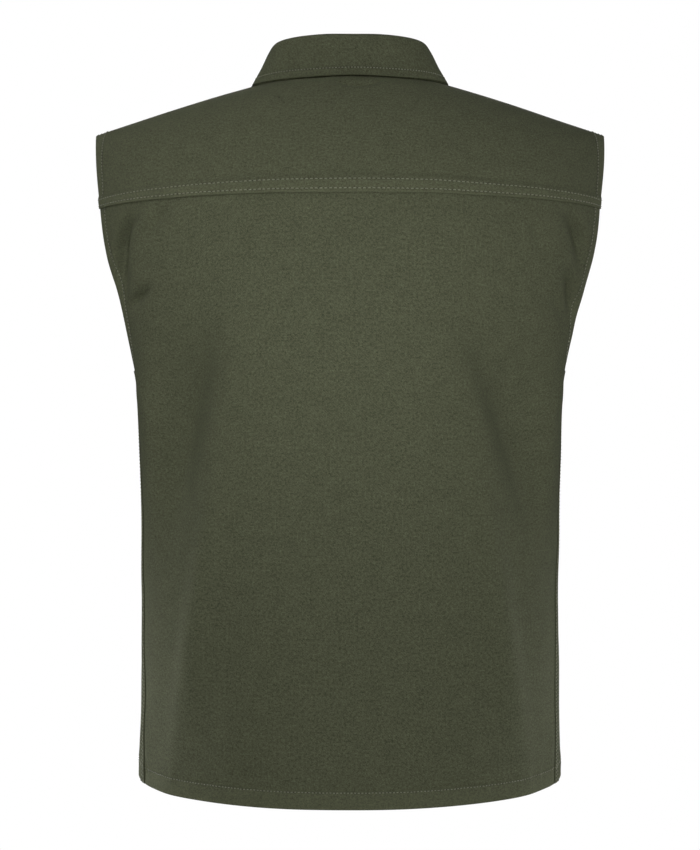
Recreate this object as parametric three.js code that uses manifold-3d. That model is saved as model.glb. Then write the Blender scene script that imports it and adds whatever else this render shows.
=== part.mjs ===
// Sleeveless cotton twill vest: turn-down collar, back yoke, back panel, two fronts that lap at the
// centre, a placket and its buttons. Every cloth piece is a thin wall over one body form.
// Millimetres, +Z up. The front faces -Y and the wearer's left is +X. The origin lies midway between
// the two points where the shoulder seams meet the collar, which is where the vest hangs on a wearer.
import * as THREE from "three";
import { mergeVertices } from "three/addons/utils/BufferGeometryUtils.js";
import Module from "manifold-3d";

const wasm = await Module();
wasm.setup();

// Cloth and seams
const CLOTH = 1.2; // one layer of twill
const GAP = 0.5; // clear space between two sewn layers
const LAP_STEP = CLOTH + GAP; // how far a lapped layer stands off the one under it
const SEAM_LAP = 10; // width of a lapped seam
const SEAM_OPENING = 0.7; // half the opening of a butted seam
const HEM_DEPTH = 15; // hem turned up inside
const FACING = 13; // armhole edge turned in
const FOLD_STEP = 1; // run of cloth over which a turned edge ends
const EASE = 18; // run of cloth over which a lapped layer settles back onto the body

// Body and outline
const HEM_Z = -632.5;
const UNDERARM_Z = -265;
const CHEST_Z = -158; // above this line the walls round over towards the shoulder seam
const YOKE_Z = -121; // lower edge of the back yoke
const NECK_HALF = 74; // centre to the neck end of a shoulder seam
const SHOULDER_HALF = 234; // centre to the armhole end of a shoulder seam
const SHOULDER_FALL = 0.3; // drop of a shoulder seam for each millimetre outwards
const SHOULDER_CAP_HALF = 90; // inside this half-width the shoulder line rounds over, under the collar
const BACK_NECK_DROP = 4;
const FRONT_NECK_DROP = 80;
const SHOULDER_RISE = 231; // cloth from the chest line up to the shoulder seam

// Level sections of the body. rise is measured up the cloth from the chest line, and back and front
// are the depths from the side line. A roundness of 2 is an ellipse, and more is squarer.
const BODY_SECTIONS = [
  { rise: -474.5, halfWidth: 193.4, back: 140, front: 128, roundness: 2.15 },
  { rise: -395, halfWidth: 191.9, back: 137, front: 127, roundness: 2.1 },
  { rise: -285, halfWidth: 190.8, back: 133, front: 128, roundness: 2.1 },
  { rise: -185, halfWidth: 191.5, back: 134, front: 129, roundness: 2.1 },
  { rise: -125, halfWidth: 193.0, back: 136, front: 128, roundness: 2.1 },
  { rise: -107, halfWidth: 196.4, back: 137, front: 128, roundness: 2.1 },
  { rise: -72, halfWidth: 207.2, back: 138, front: 127, roundness: 2.1 },
  { rise: -36, halfWidth: 218.5, back: 138, front: 125, roundness: 2.1 },
  { rise: 0, halfWidth: 228.5, back: 137, front: 120, roundness: 2.1 },
  { rise: 60, halfWidth: 234.5, back: 135, front: 104, roundness: 2.15 },
  { rise: 120, halfWidth: 238.0, back: 134, front: 93, roundness: 2.35 },
  { rise: SHOULDER_RISE, halfWidth: 241.0, back: 133, front: 82, roundness: 2.8 },
];

// Armhole and side seam, as angles round the body from the wearer's left side line towards the back
const ARMHOLE_WIDEST_Z = -188;
const ARMHOLE_BACK = 17.0;
const ARMHOLE_FRONT = -20.0;
const SIDE_SEAM_TOP = 3.5;
const SIDE_SEAM_BOTTOM = 17.5;

// Soft folds of the back. Each runs from its top point to its bottom point, seen from behind, and
// fades out at both ends. A negative depth is a hollow.
const FOLDS = [
  { name: "left_blade", topX: 106, topZ: -170, bottomX: 163, bottomZ: -440, width: 19, depth: -7 },
  { name: "left_low_swell", topX: 116, topZ: -320, bottomX: 164, bottomZ: -660, width: 17, depth: 5 },
  { name: "left_armhole", topX: 172, topZ: -124, bottomX: 205, bottomZ: -240, width: 11, depth: -5 },
  { name: "right_blade", topX: -90, topZ: -195, bottomX: -162, bottomZ: -430, width: 18, depth: -7 },
  { name: "right_low_swell", topX: -116, topZ: -330, bottomX: -164, bottomZ: -660, width: 17, depth: 5 },
  { name: "right_armhole", topX: -178, topZ: -123, bottomX: -206, bottomZ: -245, width: 10, depth: -4 },
];

// Front closure
const FRONT_LAP_HALF = 17; // each front passes the centre line by this much
const PLACKET_HALF = 16.5;
const BUTTON_COUNT = 6;
const BUTTON_TOP_Z = -100;
const BUTTON_BOTTOM_Z = -560;
const BUTTON_RADIUS = 8;
const BUTTON_THICK = 3;
const BUTTON_RIM = 1.6;
const BUTTON_DISH = 0.7;
const BUTTON_LIFT = 0.8; // button back above the placket
const SHANK_RADIUS = 1.3;
const BUTTONHOLE_LENGTH = 18;
const BUTTONHOLE_WIDTH = 3.6;
const BUTTON_SIDES = 12;

// Collar, one turned-down piece two layers thick. Each row is a section through it, from the centre
// back round to the front end. turn is the angle round the neck, which fixes the section's place on the
// neck seam, and foot is how far its lower edge stands above that seam. The roll is the collar's top and
// the edge is its outer edge, which lies on the body.
const COLLAR_THICK = 2.4;
const COLLAR_ROLL = 4; // half the width of the roll
const COLLAR_CLEAR = 4.6; // middle of the collar's edge above the body form
const LEAF_CROWN = 3; // outward bow of the leaf between roll and edge
const COLLAR_END_TURN = 178;
const COLLAR_SECTIONS = [
  { turn: 0, foot: 0.9, rollX: 0, rollY: 57, rollZ: 25, edgeX: 0, edgeZ: -10 },
  { turn: 27, foot: 0.9, rollX: 35, rollY: 52, rollZ: 25.2, edgeX: 35, edgeZ: -10 },
  { turn: 54, foot: 0.9, rollX: 58, rollY: 36, rollZ: 25.5, edgeX: 65, edgeZ: -9 },
  { turn: 78, foot: 1.1, rollX: 66, rollY: 14, rollZ: 24.5, edgeX: 85, edgeZ: -6 },
  { turn: 90, foot: 2, rollX: 67, rollY: -3, rollZ: 21, edgeX: 91.5, edgeZ: -5.2 },
  { turn: 100, foot: 3.2, rollX: 66, rollY: -29, rollZ: 9, edgeX: 97, edgeZ: -17 },
  { turn: 110, foot: 3.9, rollX: 63, rollY: -45, rollZ: -5, edgeX: 98, edgeZ: -33 },
  { turn: 138, foot: 3.8, rollX: 47, rollY: -69, rollZ: -37, edgeX: 88, edgeZ: -74 },
  { turn: 160, foot: 2, rollX: 26, rollY: -81, rollZ: -56, edgeX: 73, edgeZ: -99 },
  { turn: COLLAR_END_TURN, foot: 1, rollX: 4, rollY: -86, rollZ: -62, edgeX: 57, edgeZ: -115 },
];

// Grid counts
const BACK_COLUMNS = { shoulder: 9, neck: 8 };
const FRONT_COLUMNS = { shoulder: 7, neck: 6 };
const BODY_ROWS = 10;
const ARMHOLE_ROWS = 7;
const YOKE_ROWS = 7;
const FRONT_TOP_ROWS = 7;
const PLACKET_COLUMNS = 2;
const TURNED_COLUMNS = 3; // columns of a row that lie in a turned-in edge
const COLLAR_STATIONS = 36;
const COLLAR_STEPS = 10;

// Materials
const twill = new THREE.MeshStandardMaterial({ color: 0x4b4e3c, roughness: 0.92, metalness: 0 });
const plastic = new THREE.MeshStandardMaterial({ color: 0x2f3126, roughness: 0.45, metalness: 0 });

// Small helpers
const { lerp, smoothstep, degToRad, clamp } = THREE.MathUtils;
const signedPower = (value, power) => Math.sign(value) * Math.abs(value) ** power;
const spread = (from, to, count) => Array.from({ length: count + 1 }, (_, i) => lerp(from, to, i / count));
const fadeOut = (distance, flat, run) => 1 - smoothstep(distance, flat, flat + run);

// Value of one column of a table at a place along its key column, by smooth cubic pieces.
function sample(table, key, column, at) {
  const place = clamp(at, table[0][key], table[table.length - 1][key]);
  let i = 0;
  while (i < table.length - 2 && place > table[i + 1][key]) i++;
  const slope = (k) => {
    const before = table[Math.max(k - 1, 0)];
    const after = table[Math.min(k + 1, table.length - 1)];
    return (after[column] - before[column]) / (after[key] - before[key]);
  };
  const span = table[i + 1][key] - table[i][key];
  const t = (place - table[i][key]) / span;
  const [start, end] = [table[i][column], table[i + 1][column]];
  return (
    (2 * t ** 3 - 3 * t ** 2 + 1) * start +
    (t ** 3 - 2 * t ** 2 + t) * span * slope(i) +
    (3 * t ** 2 - 2 * t ** 3) * end +
    (t ** 3 - t ** 2) * span * slope(i + 1)
  );
}

// Body form: a place on it is an angle round the body and a rise up the cloth.
// The angle is 0 at the wearer's left side, 90 at the centre back and -90 at the centre front.
const halfWidthAt = (rise) => sample(BODY_SECTIONS, "rise", "halfWidth", rise);
const depthAt = (angle, rise) => sample(BODY_SECTIONS, "rise", angle >= 0 ? "back" : "front", rise);
const roundnessAt = (rise) => sample(BODY_SECTIONS, "rise", "roundness", rise);
const across = (angle, rise) => signedPower(Math.cos(degToRad(angle)), 2 / roundnessAt(rise));
const through = (angle, rise) => signedPower(Math.sin(degToRad(angle)), 2 / roundnessAt(rise));

function shoulderLineZ(x) {
  const out = Math.abs(x);
  if (out >= SHOULDER_CAP_HALF) return -SHOULDER_FALL * (out - NECK_HALF);
  const cap = (SHOULDER_CAP_HALF ** 2 - out ** 2) / (2 * SHOULDER_CAP_HALF);
  return SHOULDER_FALL * (cap - SHOULDER_CAP_HALF + NECK_HALF);
}

function bodyPoint(angle, rise) {
  const x = halfWidthAt(rise) * across(angle, rise);
  const y = depthAt(angle, rise) * through(angle, rise);
  if (rise <= 0) return new THREE.Vector3(x, y, CHEST_Z + rise);
  const turn = ((rise / SHOULDER_RISE) * Math.PI) / 2;
  const z = CHEST_Z + (shoulderLineZ(x) - CHEST_Z) * Math.sin(turn);
  return new THREE.Vector3(x, y * Math.cos(turn), z);
}

function bodyNormal(angle, rise) {
  const [turnStep, riseStep] = [1, 2];
  const round = bodyPoint(angle + turnStep, rise).sub(bodyPoint(angle - turnStep, rise));
  const up = bodyPoint(angle, rise + riseStep).sub(bodyPoint(angle, rise - riseStep));
  return round.cross(up).normalize();
}

const angleAtX = (x, rise) => {
  const share = clamp(x / halfWidthAt(rise), -1, 1);
  return THREE.MathUtils.radToDeg(Math.acos(signedPower(share, roundnessAt(rise) / 2)));
};

function riseAtZ(x, z) {
  if (z <= CHEST_Z) return z - CHEST_Z;
  const lift = clamp((z - CHEST_Z) / (shoulderLineZ(x) - CHEST_Z), 0, 1);
  return (Math.asin(lift) / (Math.PI / 2)) * SHOULDER_RISE;
}

// Rise of the body form at a height, found along one angle.
function riseAlong(angle, heightAtX) {
  let rise = 0;
  for (let i = 0; i < 6; i++) {
    const x = halfWidthAt(rise) * across(angle, rise);
    rise = riseAtZ(x, heightAtX(x));
  }
  return rise;
}

const neckZ = (x, drop) => -drop * Math.sqrt(Math.max(0, 1 - (x / NECK_HALF) ** 2));

// Edges of the cloth pieces
const HEM_RISE = HEM_Z - CHEST_Z;
const UNDERARM_RISE = UNDERARM_Z - CHEST_Z;
const TIP_ANGLE = angleAtX(SHOULDER_HALF, SHOULDER_RISE);
const NECK_ANGLE = angleAtX(NECK_HALF, SHOULDER_RISE);

function sideSeamAngle(rise) {
  const up = (rise - HEM_RISE) / (UNDERARM_RISE - HEM_RISE);
  return lerp(SIDE_SEAM_BOTTOM, SIDE_SEAM_TOP, up);
}

// Angle of the armhole edge, from its foot at the side seam, out to its widest and in to the shoulder tip.
function armholeAngle(rise, foot, widest) {
  const middle = ARMHOLE_WIDEST_Z - CHEST_Z;
  if (rise < middle) {
    const down = (middle - rise) / (middle - UNDERARM_RISE);
    return lerp(foot, widest, Math.sqrt(Math.max(0, 1 - down ** 2)));
  }
  const up = (rise - middle) / (SHOULDER_RISE - middle);
  return lerp(widest, Math.sign(widest) * TIP_ANGLE, up ** 2);
}

function foldOffset(point) {
  let sum = 0;
  for (const fold of FOLDS) {
    const along = (fold.topZ - point.z) / (fold.topZ - fold.bottomZ);
    if (point.y < 0 || along <= 0 || along >= 1) continue;
    const off = (point.x - lerp(fold.topX, fold.bottomX, along)) / fold.width;
    sum += fold.depth * Math.sin(Math.PI * along) ** 2 * Math.exp(-off * off);
  }
  return sum;
}

// Cloth wall: a closed solid from rows of places { angle, rise, offset, thick } on the body form.
// offset is outwards from the form to the cloth's outer face. side -1 mirrors the piece to the right.
function clothWall(rows, side = 1) {
  const [outer, inner] = [[], []];
  for (const { angle, rise, offset = 0, thick = CLOTH } of rows.flat()) {
    const point = bodyPoint(angle, rise);
    const normal = bodyNormal(angle, rise);
    const face = point.clone().addScaledVector(normal, offset);
    const back = face.clone().addScaledVector(normal, -thick);
    outer.push(face.multiply(new THREE.Vector3(side, 1, 1)));
    inner.push(back.multiply(new THREE.Vector3(side, 1, 1)));
  }
  return closedShell(outer, inner, rows[0].length, side < 0);
}

// Joins an outer and an inner grid of points, with a strip round the border, into one closed solid.
function closedShell(outer, inner, columns, flipped) {
  const rowCount = outer.length / columns;
  const index = [];
  const quad = (a, b, c, d) => (flipped ? index.push(a, c, b, a, d, c) : index.push(a, b, c, a, c, d));
  const at = (row, column) => row * columns + column;
  const base = outer.length;
  for (let r = 0; r < rowCount - 1; r++) {
    for (let c = 0; c < columns - 1; c++) {
      const [a, b, d, e] = [at(r, c), at(r, c + 1), at(r + 1, c + 1), at(r + 1, c)];
      quad(a, b, d, e);
      quad(base + e, base + d, base + b, base + a);
    }
    const [left, leftUp] = [at(r, 0), at(r + 1, 0)];
    const [right, rightUp] = [at(r, columns - 1), at(r + 1, columns - 1)];
    quad(base + left, left, leftUp, base + leftUp);
    quad(right, base + right, base + rightUp, rightUp);
  }
  for (let c = 0; c < columns - 1; c++) {
    const [low, lowNext] = [at(0, c), at(0, c + 1)];
    const [high, highNext] = [at(rowCount - 1, c), at(rowCount - 1, c + 1)];
    quad(base + low, base + lowNext, lowNext, low);
    quad(high, highNext, base + highNext, base + high);
  }
  const geometry = new THREE.BufferGeometry().setFromPoints([...outer, ...inner]);
  return geometry.setIndex(index);
}

// Degrees round the body for a run of cloth.
function degreesFor(run, angle, rise) {
  const perDegree = bodyPoint(angle + 1, rise).distanceTo(bodyPoint(angle - 1, rise)) / 2;
  return run / perDegree;
}

// Angles of the columns by one edge, across its turned-in strip, going inwards in the given sense.
function edgeColumns(edge, rise, sense) {
  const perRun = sense * degreesFor(1, edge + sense * 5, rise);
  return [0, FACING / 2, FACING, FACING + FOLD_STEP].map((run) => edge + run * perRun);
}

const hemRows = [HEM_RISE, HEM_RISE + HEM_DEPTH, HEM_RISE + HEM_DEPTH + FOLD_STEP];
const bodyRows = spread(HEM_RISE + HEM_DEPTH + FOLD_STEP, UNDERARM_RISE, BODY_ROWS).slice(1);
const armholeTurns = spread(0, 90, ARMHOLE_ROWS).slice(1);
const armholeRows = armholeTurns.map((turn) => lerp(UNDERARM_RISE, 0, 1 - Math.cos(degToRad(turn))));
const levelRows = [...hemRows, ...bodyRows, ...armholeRows];

// Hem and armhole edges are turned in, so they are two layers thick.
const inHem = (rise) => rise < HEM_RISE + HEM_DEPTH + FOLD_STEP / 2;

// The back's columns run on from the panel into the yoke, and one pair ends where the shoulder seams
// meet the neck.
const yokeEdge = (rise) => armholeAngle(rise, SIDE_SEAM_TOP, ARMHOLE_BACK);
const backEdge = (rise) => (rise <= UNDERARM_RISE ? sideSeamAngle(rise) : yokeEdge(rise));

function backColumns(rise) {
  const edge = edgeColumns(backEdge(rise), rise, 1);
  const inner = edge[edge.length - 1];
  const topInner = edgeColumns(TIP_ANGLE, SHOULDER_RISE, 1)[TURNED_COLUMNS];
  const neckShare = (NECK_ANGLE - topInner) / (90 - topInner);
  const shares = [
    ...spread(0, neckShare, BACK_COLUMNS.shoulder).slice(1),
    ...spread(neckShare, 1, BACK_COLUMNS.neck / 2).slice(1),
  ];
  const half = [...edge, ...shares.map((share) => lerp(inner, 90, share))];
  return [...half, ...half.slice(0, -1).reverse().map((angle) => 180 - angle)];
}

const seamRise = (angle) => riseAlong(angle, () => YOKE_Z);
const isTurned = (column, columns) => column < TURNED_COLUMNS || column >= columns - TURNED_COLUMNS;

function backYoke() {
  const topRise = (angle) => {
    const neckless = angle <= NECK_ANGLE || angle >= 180 - NECK_ANGLE;
    const top = neckless ? SHOULDER_RISE : riseAlong(angle, (x) => neckZ(x, BACK_NECK_DROP));
    return Math.min(SHOULDER_RISE, top) - SEAM_OPENING;
  };
  const lapTop = SEAM_LAP + 2 * GAP;
  const eased = lapTop + EASE;
  const whole = SHOULDER_RISE - seamRise(TIP_ANGLE);
  const rows = [0, lapTop, ...spread(eased, whole, YOKE_ROWS)].map((up) => {
    const columns = backColumns(seamRise(TIP_ANGLE) + up);
    return columns.map((angle, c) => {
      const low = seamRise(angle);
      const upper = lerp(low + eased, topRise(angle), (up - eased) / (whole - eased));
      const rise = up < eased ? low + up : upper;
      const lap = up < eased ? LAP_STEP : 0;
      const turned = up > eased && up < whole && isTurned(c, columns.length);
      const offset = lap + foldOffset(bodyPoint(angle, rise));
      return { angle, rise, offset, thick: turned ? 2 * CLOTH : CLOTH };
    });
  });
  return clothWall(rows);
}

function backPanel() {
  const rowAt = (nominal, riseAt) => {
    const columns = backColumns(nominal);
    return columns.map((angle, c) => {
      const rise = riseAt(angle);
      const turned = inHem(rise) || (nominal > UNDERARM_RISE && isTurned(c, columns.length));
      const offset = foldOffset(bodyPoint(angle, rise));
      return { angle, rise, offset, thick: turned ? 2 * CLOTH : CLOTH };
    });
  };
  const rows = levelRows.map((rise) => rowAt(rise, () => rise));
  rows.push(rowAt(seamRise(TIP_ANGLE), seamRise));
  rows.push(rowAt(seamRise(TIP_ANGLE) + SEAM_LAP, (angle) => seamRise(angle) + SEAM_LAP));
  return clothWall(rows);
}

// Each front's outer edge is the side seam, which laps over the back, and then the armhole.
function frontEdge(rise) {
  const low = Math.min(rise, UNDERARM_RISE);
  const foot = sideSeamAngle(low) + degreesFor(SEAM_LAP, SIDE_SEAM_TOP, low);
  return rise <= UNDERARM_RISE ? foot : armholeAngle(rise, foot, ARMHOLE_FRONT);
}

function frontTopRise(angle) {
  const top = angle >= -NECK_ANGLE ? SHOULDER_RISE : riseAlong(angle, (x) => neckZ(x, FRONT_NECK_DROP));
  return Math.min(SHOULDER_RISE, top) - SEAM_OPENING;
}

// Angles of a front's columns from its outer edge to its centre edge. One column ends at the neck end of
// the shoulder seam. Those past it close up towards it, where the neckline is steep, and the last ones
// are upright lines by the centre.
function frontColumns(rise) {
  const outer = edgeColumns(frontEdge(rise), rise, -1);
  const shoulder = spread(outer[TURNED_COLUMNS], -NECK_ANGLE, FRONT_COLUMNS.shoulder).slice(1);
  const neckX = bodyPoint(-NECK_ANGLE, rise).x;
  const neckTurns = spread(0, 90, FRONT_COLUMNS.neck).slice(1);
  const easeX = FRONT_LAP_HALF + GAP + EASE;
  const neckXs = neckTurns.map((turn) => lerp(neckX, easeX, 1 - Math.cos(degToRad(turn))));
  const centreXs = [FRONT_LAP_HALF + GAP, 0, -FRONT_LAP_HALF];
  return [...outer, ...shoulder, ...[...neckXs, ...centreXs].map((x) => -angleAtX(x, rise))];
}

function frontPanel(side) {
  const onTop = side > 0;
  const lapEnd = UNDERARM_RISE + SEAM_LAP;
  const rowAt = (nominal, riseAt) => {
    const columns = frontColumns(nominal);
    return columns.map((angle, c) => {
      const rise = riseAt(angle);
      const { x } = bodyPoint(angle, rise);
      const atEdge = c < TURNED_COLUMNS;
      const crossing = nominal >= UNDERARM_RISE ? GAP : 0;
      const sideLap = atEdge && nominal <= lapEnd ? LAP_STEP + crossing : 0;
      const centreLap = onTop ? LAP_STEP * fadeOut(x, FRONT_LAP_HALF + GAP, EASE) : 0;
      const offset = sideLap + centreLap;
      const armholeTurned = atEdge && nominal > lapEnd && nominal < SHOULDER_RISE;
      const turned = armholeTurned || (inHem(rise) && offset < GAP / 4);
      return { angle, rise, offset, thick: turned ? 2 * CLOTH : CLOTH };
    });
  };
  const rows = levelRows.map((rise) => rowAt(rise, () => rise));
  for (const up of spread(0, 1, FRONT_TOP_ROWS).slice(1)) {
    rows.push(rowAt(up * SHOULDER_RISE, (angle) => up * frontTopRise(angle)));
  }
  return clothWall(rows.map((row) => row.toReversed()), side);
}

function placket() {
  const rowAt = (riseAtX) =>
    spread(-PLACKET_HALF, PLACKET_HALF, PLACKET_COLUMNS).map((x) => {
      const rise = riseAtX(x);
      return { angle: -angleAtX(x, rise), rise, offset: 2 * LAP_STEP };
    });
  const topRise = (x) => riseAtZ(x, neckZ(x, FRONT_NECK_DROP)) - SEAM_OPENING;
  const rows = levelRows.map((rise) => rowAt(() => rise));
  for (const up of spread(0, 1, FRONT_TOP_ROWS).slice(1)) {
    rows.push(rowAt((x) => up * topRise(x)));
  }
  return clothWall(rows);
}

// Collar: a wall that rises from the neck seam to the roll and turns down over the shoulders.
const collarTable = [
  ...COLLAR_SECTIONS.slice(1)
    .reverse()
    .map((row) => ({ ...row, turn: -row.turn, rollX: -row.rollX, edgeX: -row.edgeX })),
  ...COLLAR_SECTIONS,
];

// Point above the body form, on the back or the front as the turn round the neck says.
function overBody(turn, x, z, clear) {
  const rise = riseAtZ(x, z);
  const angle = angleAtX(x, rise) * (Math.abs(turn) <= 90 ? 1 : -1);
  return bodyPoint(angle, rise).addScaledVector(bodyNormal(angle, rise), clear);
}

function neckSeam(turn) {
  const x = NECK_HALF * Math.sin(degToRad(turn));
  return overBody(turn, x, neckZ(x, Math.abs(turn) <= 90 ? BACK_NECK_DROP : FRONT_NECK_DROP), 0);
}

// Turns at which the neck seam is cut into even lengths.
function evenTurns(count) {
  const turns = spread(-COLLAR_END_TURN, COLLAR_END_TURN, 4 * COLLAR_END_TURN);
  const runs = [0];
  for (let i = 1; i < turns.length; i++) {
    runs.push(runs[i - 1] + neckSeam(turns[i]).distanceTo(neckSeam(turns[i - 1])));
  }
  const whole = runs[runs.length - 1];
  return spread(0, whole, count).map((run) => turns[runs.findIndex((r) => r >= run - 1e-6)]);
}

function collarSection(turn) {
  const value = (column, at = turn) => sample(collarTable, "turn", column, at);
  const rollAt = (at) => new THREE.Vector3(value("rollX", at), value("rollY", at), value("rollZ", at));
  const seam = neckSeam(turn);
  const roll = rollAt(turn);
  const edge = overBody(turn, value("edgeX"), value("edgeZ"), COLLAR_CLEAR);
  const along = rollAt(turn + 1).sub(rollAt(turn - 1)).normalize();
  const out = new THREE.Vector3(-along.y, along.x, 0).normalize();
  const up = out.clone().cross(along).normalize();
  const foot = seam.clone().addScaledVector(roll.clone().sub(seam).normalize(), value("foot"));
  const below = roll.clone().addScaledVector(up, -COLLAR_ROLL);
  const beside = (sense) => below.clone().addScaledVector(out, sense * COLLAR_ROLL);
  const crown = roll.clone().lerp(edge, 0.55).addScaledVector(out, LEAF_CROWN);
  const path = [foot, foot.clone().lerp(beside(-1), 0.55), beside(-1), roll, beside(1), crown, edge];
  return new THREE.CatmullRomCurve3(path, false, "centripetal").getSpacedPoints(COLLAR_STEPS);
}

function collar() {
  const rows = evenTurns(COLLAR_STATIONS).map(collarSection);
  const columns = COLLAR_STEPS + 1;
  const [outer, inner] = [[], []];
  rows.forEach((row, r) =>
    row.forEach((point, c) => {
      const along = rows[Math.min(r + 1, rows.length - 1)][c].clone().sub(rows[Math.max(r - 1, 0)][c]);
      const down = row[Math.min(c + 1, columns - 1)].clone().sub(row[Math.max(c - 1, 0)]);
      const normal = along.cross(down).normalize();
      outer.push(point.clone().addScaledVector(normal, COLLAR_THICK / 2));
      inner.push(point.clone().addScaledVector(normal, -COLLAR_THICK / 2));
    }),
  );
  return closedShell(outer, inner, columns, true);
}

// Buttons: each is sewn to the right front by a shank that passes through a buttonhole.
const buttonHeights = spread(BUTTON_TOP_Z, BUTTON_BOTTOM_Z, BUTTON_COUNT - 1);
const placketFace = 2 * LAP_STEP;

function buttonGeometry() {
  const foot = GAP - placketFace - BUTTON_LIFT;
  const profile = [
    [0, foot],
    [SHANK_RADIUS, foot],
    [SHANK_RADIUS, 0],
    [BUTTON_RADIUS, 0],
    [BUTTON_RADIUS, BUTTON_THICK - BUTTON_DISH],
    [BUTTON_RADIUS - BUTTON_DISH, BUTTON_THICK],
    [BUTTON_RADIUS - BUTTON_RIM, BUTTON_THICK],
    [BUTTON_RADIUS - BUTTON_RIM - BUTTON_DISH, BUTTON_THICK - BUTTON_DISH],
    [0, BUTTON_THICK - BUTTON_DISH],
  ];
  return new THREE.LatheGeometry(profile.map(([r, h]) => new THREE.Vector2(r, h)), BUTTON_SIDES);
}

// Where a button sits, as a frame whose Y axis points out of the placket and whose Z axis runs up it.
function buttonFrame(z, offset) {
  const rise = riseAtZ(0, z);
  const out = bodyNormal(-90, rise);
  const up = new THREE.Vector3(0, 0, 1).addScaledVector(out, -out.z).normalize();
  const matrix = new THREE.Matrix4().makeBasis(out.clone().cross(up), out, up);
  return matrix.setPosition(bodyPoint(-90, rise).addScaledVector(out, offset));
}

// Booleans on closed geometries
function toSolid(geometry) {
  const bare = geometry.clone().deleteAttribute("normal").deleteAttribute("uv");
  const merged = mergeVertices(bare, 1e-3);
  const vertProperties = merged.getAttribute("position").array;
  const triVerts = new Uint32Array(merged.index.array);
  return new wasm.Manifold(new wasm.Mesh({ numProp: 3, vertProperties, triVerts }));
}

function withButtonholes(geometry) {
  let solid = toSolid(geometry);
  for (const z of buttonHeights) {
    const hole = new THREE.BoxGeometry(BUTTONHOLE_WIDTH, 6 * LAP_STEP, BUTTONHOLE_LENGTH);
    solid = solid.subtract(toSolid(hole.applyMatrix4(buttonFrame(z, 2 * LAP_STEP + GAP))));
  }
  const { vertProperties, triVerts } = solid.getMesh();
  const cut = new THREE.BufferGeometry();
  cut.setAttribute("position", new THREE.BufferAttribute(vertProperties, 3));
  return cut.setIndex(new THREE.BufferAttribute(triVerts, 1));
}

// Assembly
const vest = new THREE.Group();
const add = (name, geometry, material) => {
  geometry.computeVertexNormals();
  const mesh = new THREE.Mesh(geometry, material);
  mesh.name = name;
  vest.add(mesh);
  return mesh;
};

add("back_yoke", backYoke(), twill);
add("back_panel", backPanel(), twill);
add("front_right", frontPanel(-1), twill);
add("front_left", withButtonholes(frontPanel(1)), twill);
add("placket", withButtonholes(placket()), twill);
add("collar", collar(), twill);
buttonHeights.forEach((z, i) => {
  const button = add(`button_${i + 1}`, buttonGeometry(), plastic);
  button.applyMatrix4(buttonFrame(z, placketFace + BUTTON_LIFT));
});

export default vest;
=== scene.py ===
# Sleeveless cotton twill vest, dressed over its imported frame. Every cloth piece is a fine closed sheet on
# the same body form as the solids, with soft folds, puckered seams, thread stitches and four-hole buttons.
# Metres, watts and degrees, +Z up. The front faces -Y and the wearer's left is +X.
import math
from collections import namedtuple

import bpy
import numpy as np
from mathutils import Matrix, Vector


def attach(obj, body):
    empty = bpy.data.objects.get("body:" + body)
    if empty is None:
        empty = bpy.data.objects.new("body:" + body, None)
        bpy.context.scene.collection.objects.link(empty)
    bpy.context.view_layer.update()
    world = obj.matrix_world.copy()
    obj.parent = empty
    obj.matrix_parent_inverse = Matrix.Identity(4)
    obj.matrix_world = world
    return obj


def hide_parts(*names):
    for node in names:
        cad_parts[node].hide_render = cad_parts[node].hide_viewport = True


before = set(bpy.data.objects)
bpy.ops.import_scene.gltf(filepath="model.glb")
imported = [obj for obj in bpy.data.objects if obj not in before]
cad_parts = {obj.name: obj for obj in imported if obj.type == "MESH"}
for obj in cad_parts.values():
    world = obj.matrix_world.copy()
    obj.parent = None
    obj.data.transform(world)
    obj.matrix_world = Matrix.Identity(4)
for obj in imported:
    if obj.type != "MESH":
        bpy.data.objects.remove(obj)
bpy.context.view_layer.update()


def table(columns, rows):
    """Rows of numbers as arrays by column name."""
    return dict(zip(columns.split(), np.array(rows, float).T))


# Cloth and seams
CLOTH = 0.0008  # one layer of twill
GAP = 0.00015  # clear space between two sewn layers
LAP_STEP = CLOTH + GAP
SEAM_LAP = 0.010
SEAM_OPENING = 0.0004  # half the opening of a butted seam
NECK_TRIM = 0.002  # cloth cut back below the neck seam
HEM_DEPTH = 0.015
FACING = 0.013  # armhole edge turned in
EASE = 0.018  # run over which a lapped front settles back onto the body
YOKE_LIFT = 2 * CLOTH + GAP
YOKE_LAP_END = SEAM_LAP + 2 * GAP
YOKE_EASE = 0.007
YOKE_EASED = YOKE_LAP_END + YOKE_EASE

# Body and outline
HEM_Z = -0.6325
UNDERARM_Z = -0.265
CHEST_Z = -0.158  # above this line the cloth rounds over towards the shoulder seam
YOKE_Z = -0.121
NECK_HALF = 0.074
SHOULDER_HALF = 0.234
SHOULDER_FALL = 0.3  # drop of a shoulder seam for each metre outwards
SHOULDER_CAP_HALF = 0.090  # inside this half-width the shoulder line rounds over
BACK_NECK_DROP = 0.004
FRONT_NECK_DROP = 0.080
SHOULDER_RISE = 0.231
ARMHOLE_WIDEST_Z = -0.188
ARMHOLE_BACK = 17.0
ARMHOLE_FRONT = -20.0
SIDE_SEAM_TOP = 3.5
SIDE_SEAM_BOTTOM = 17.5
FRONT_LAP_HALF = 0.017
PLACKET_HALF = 0.0165
RISE_PASSES = 6

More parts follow.
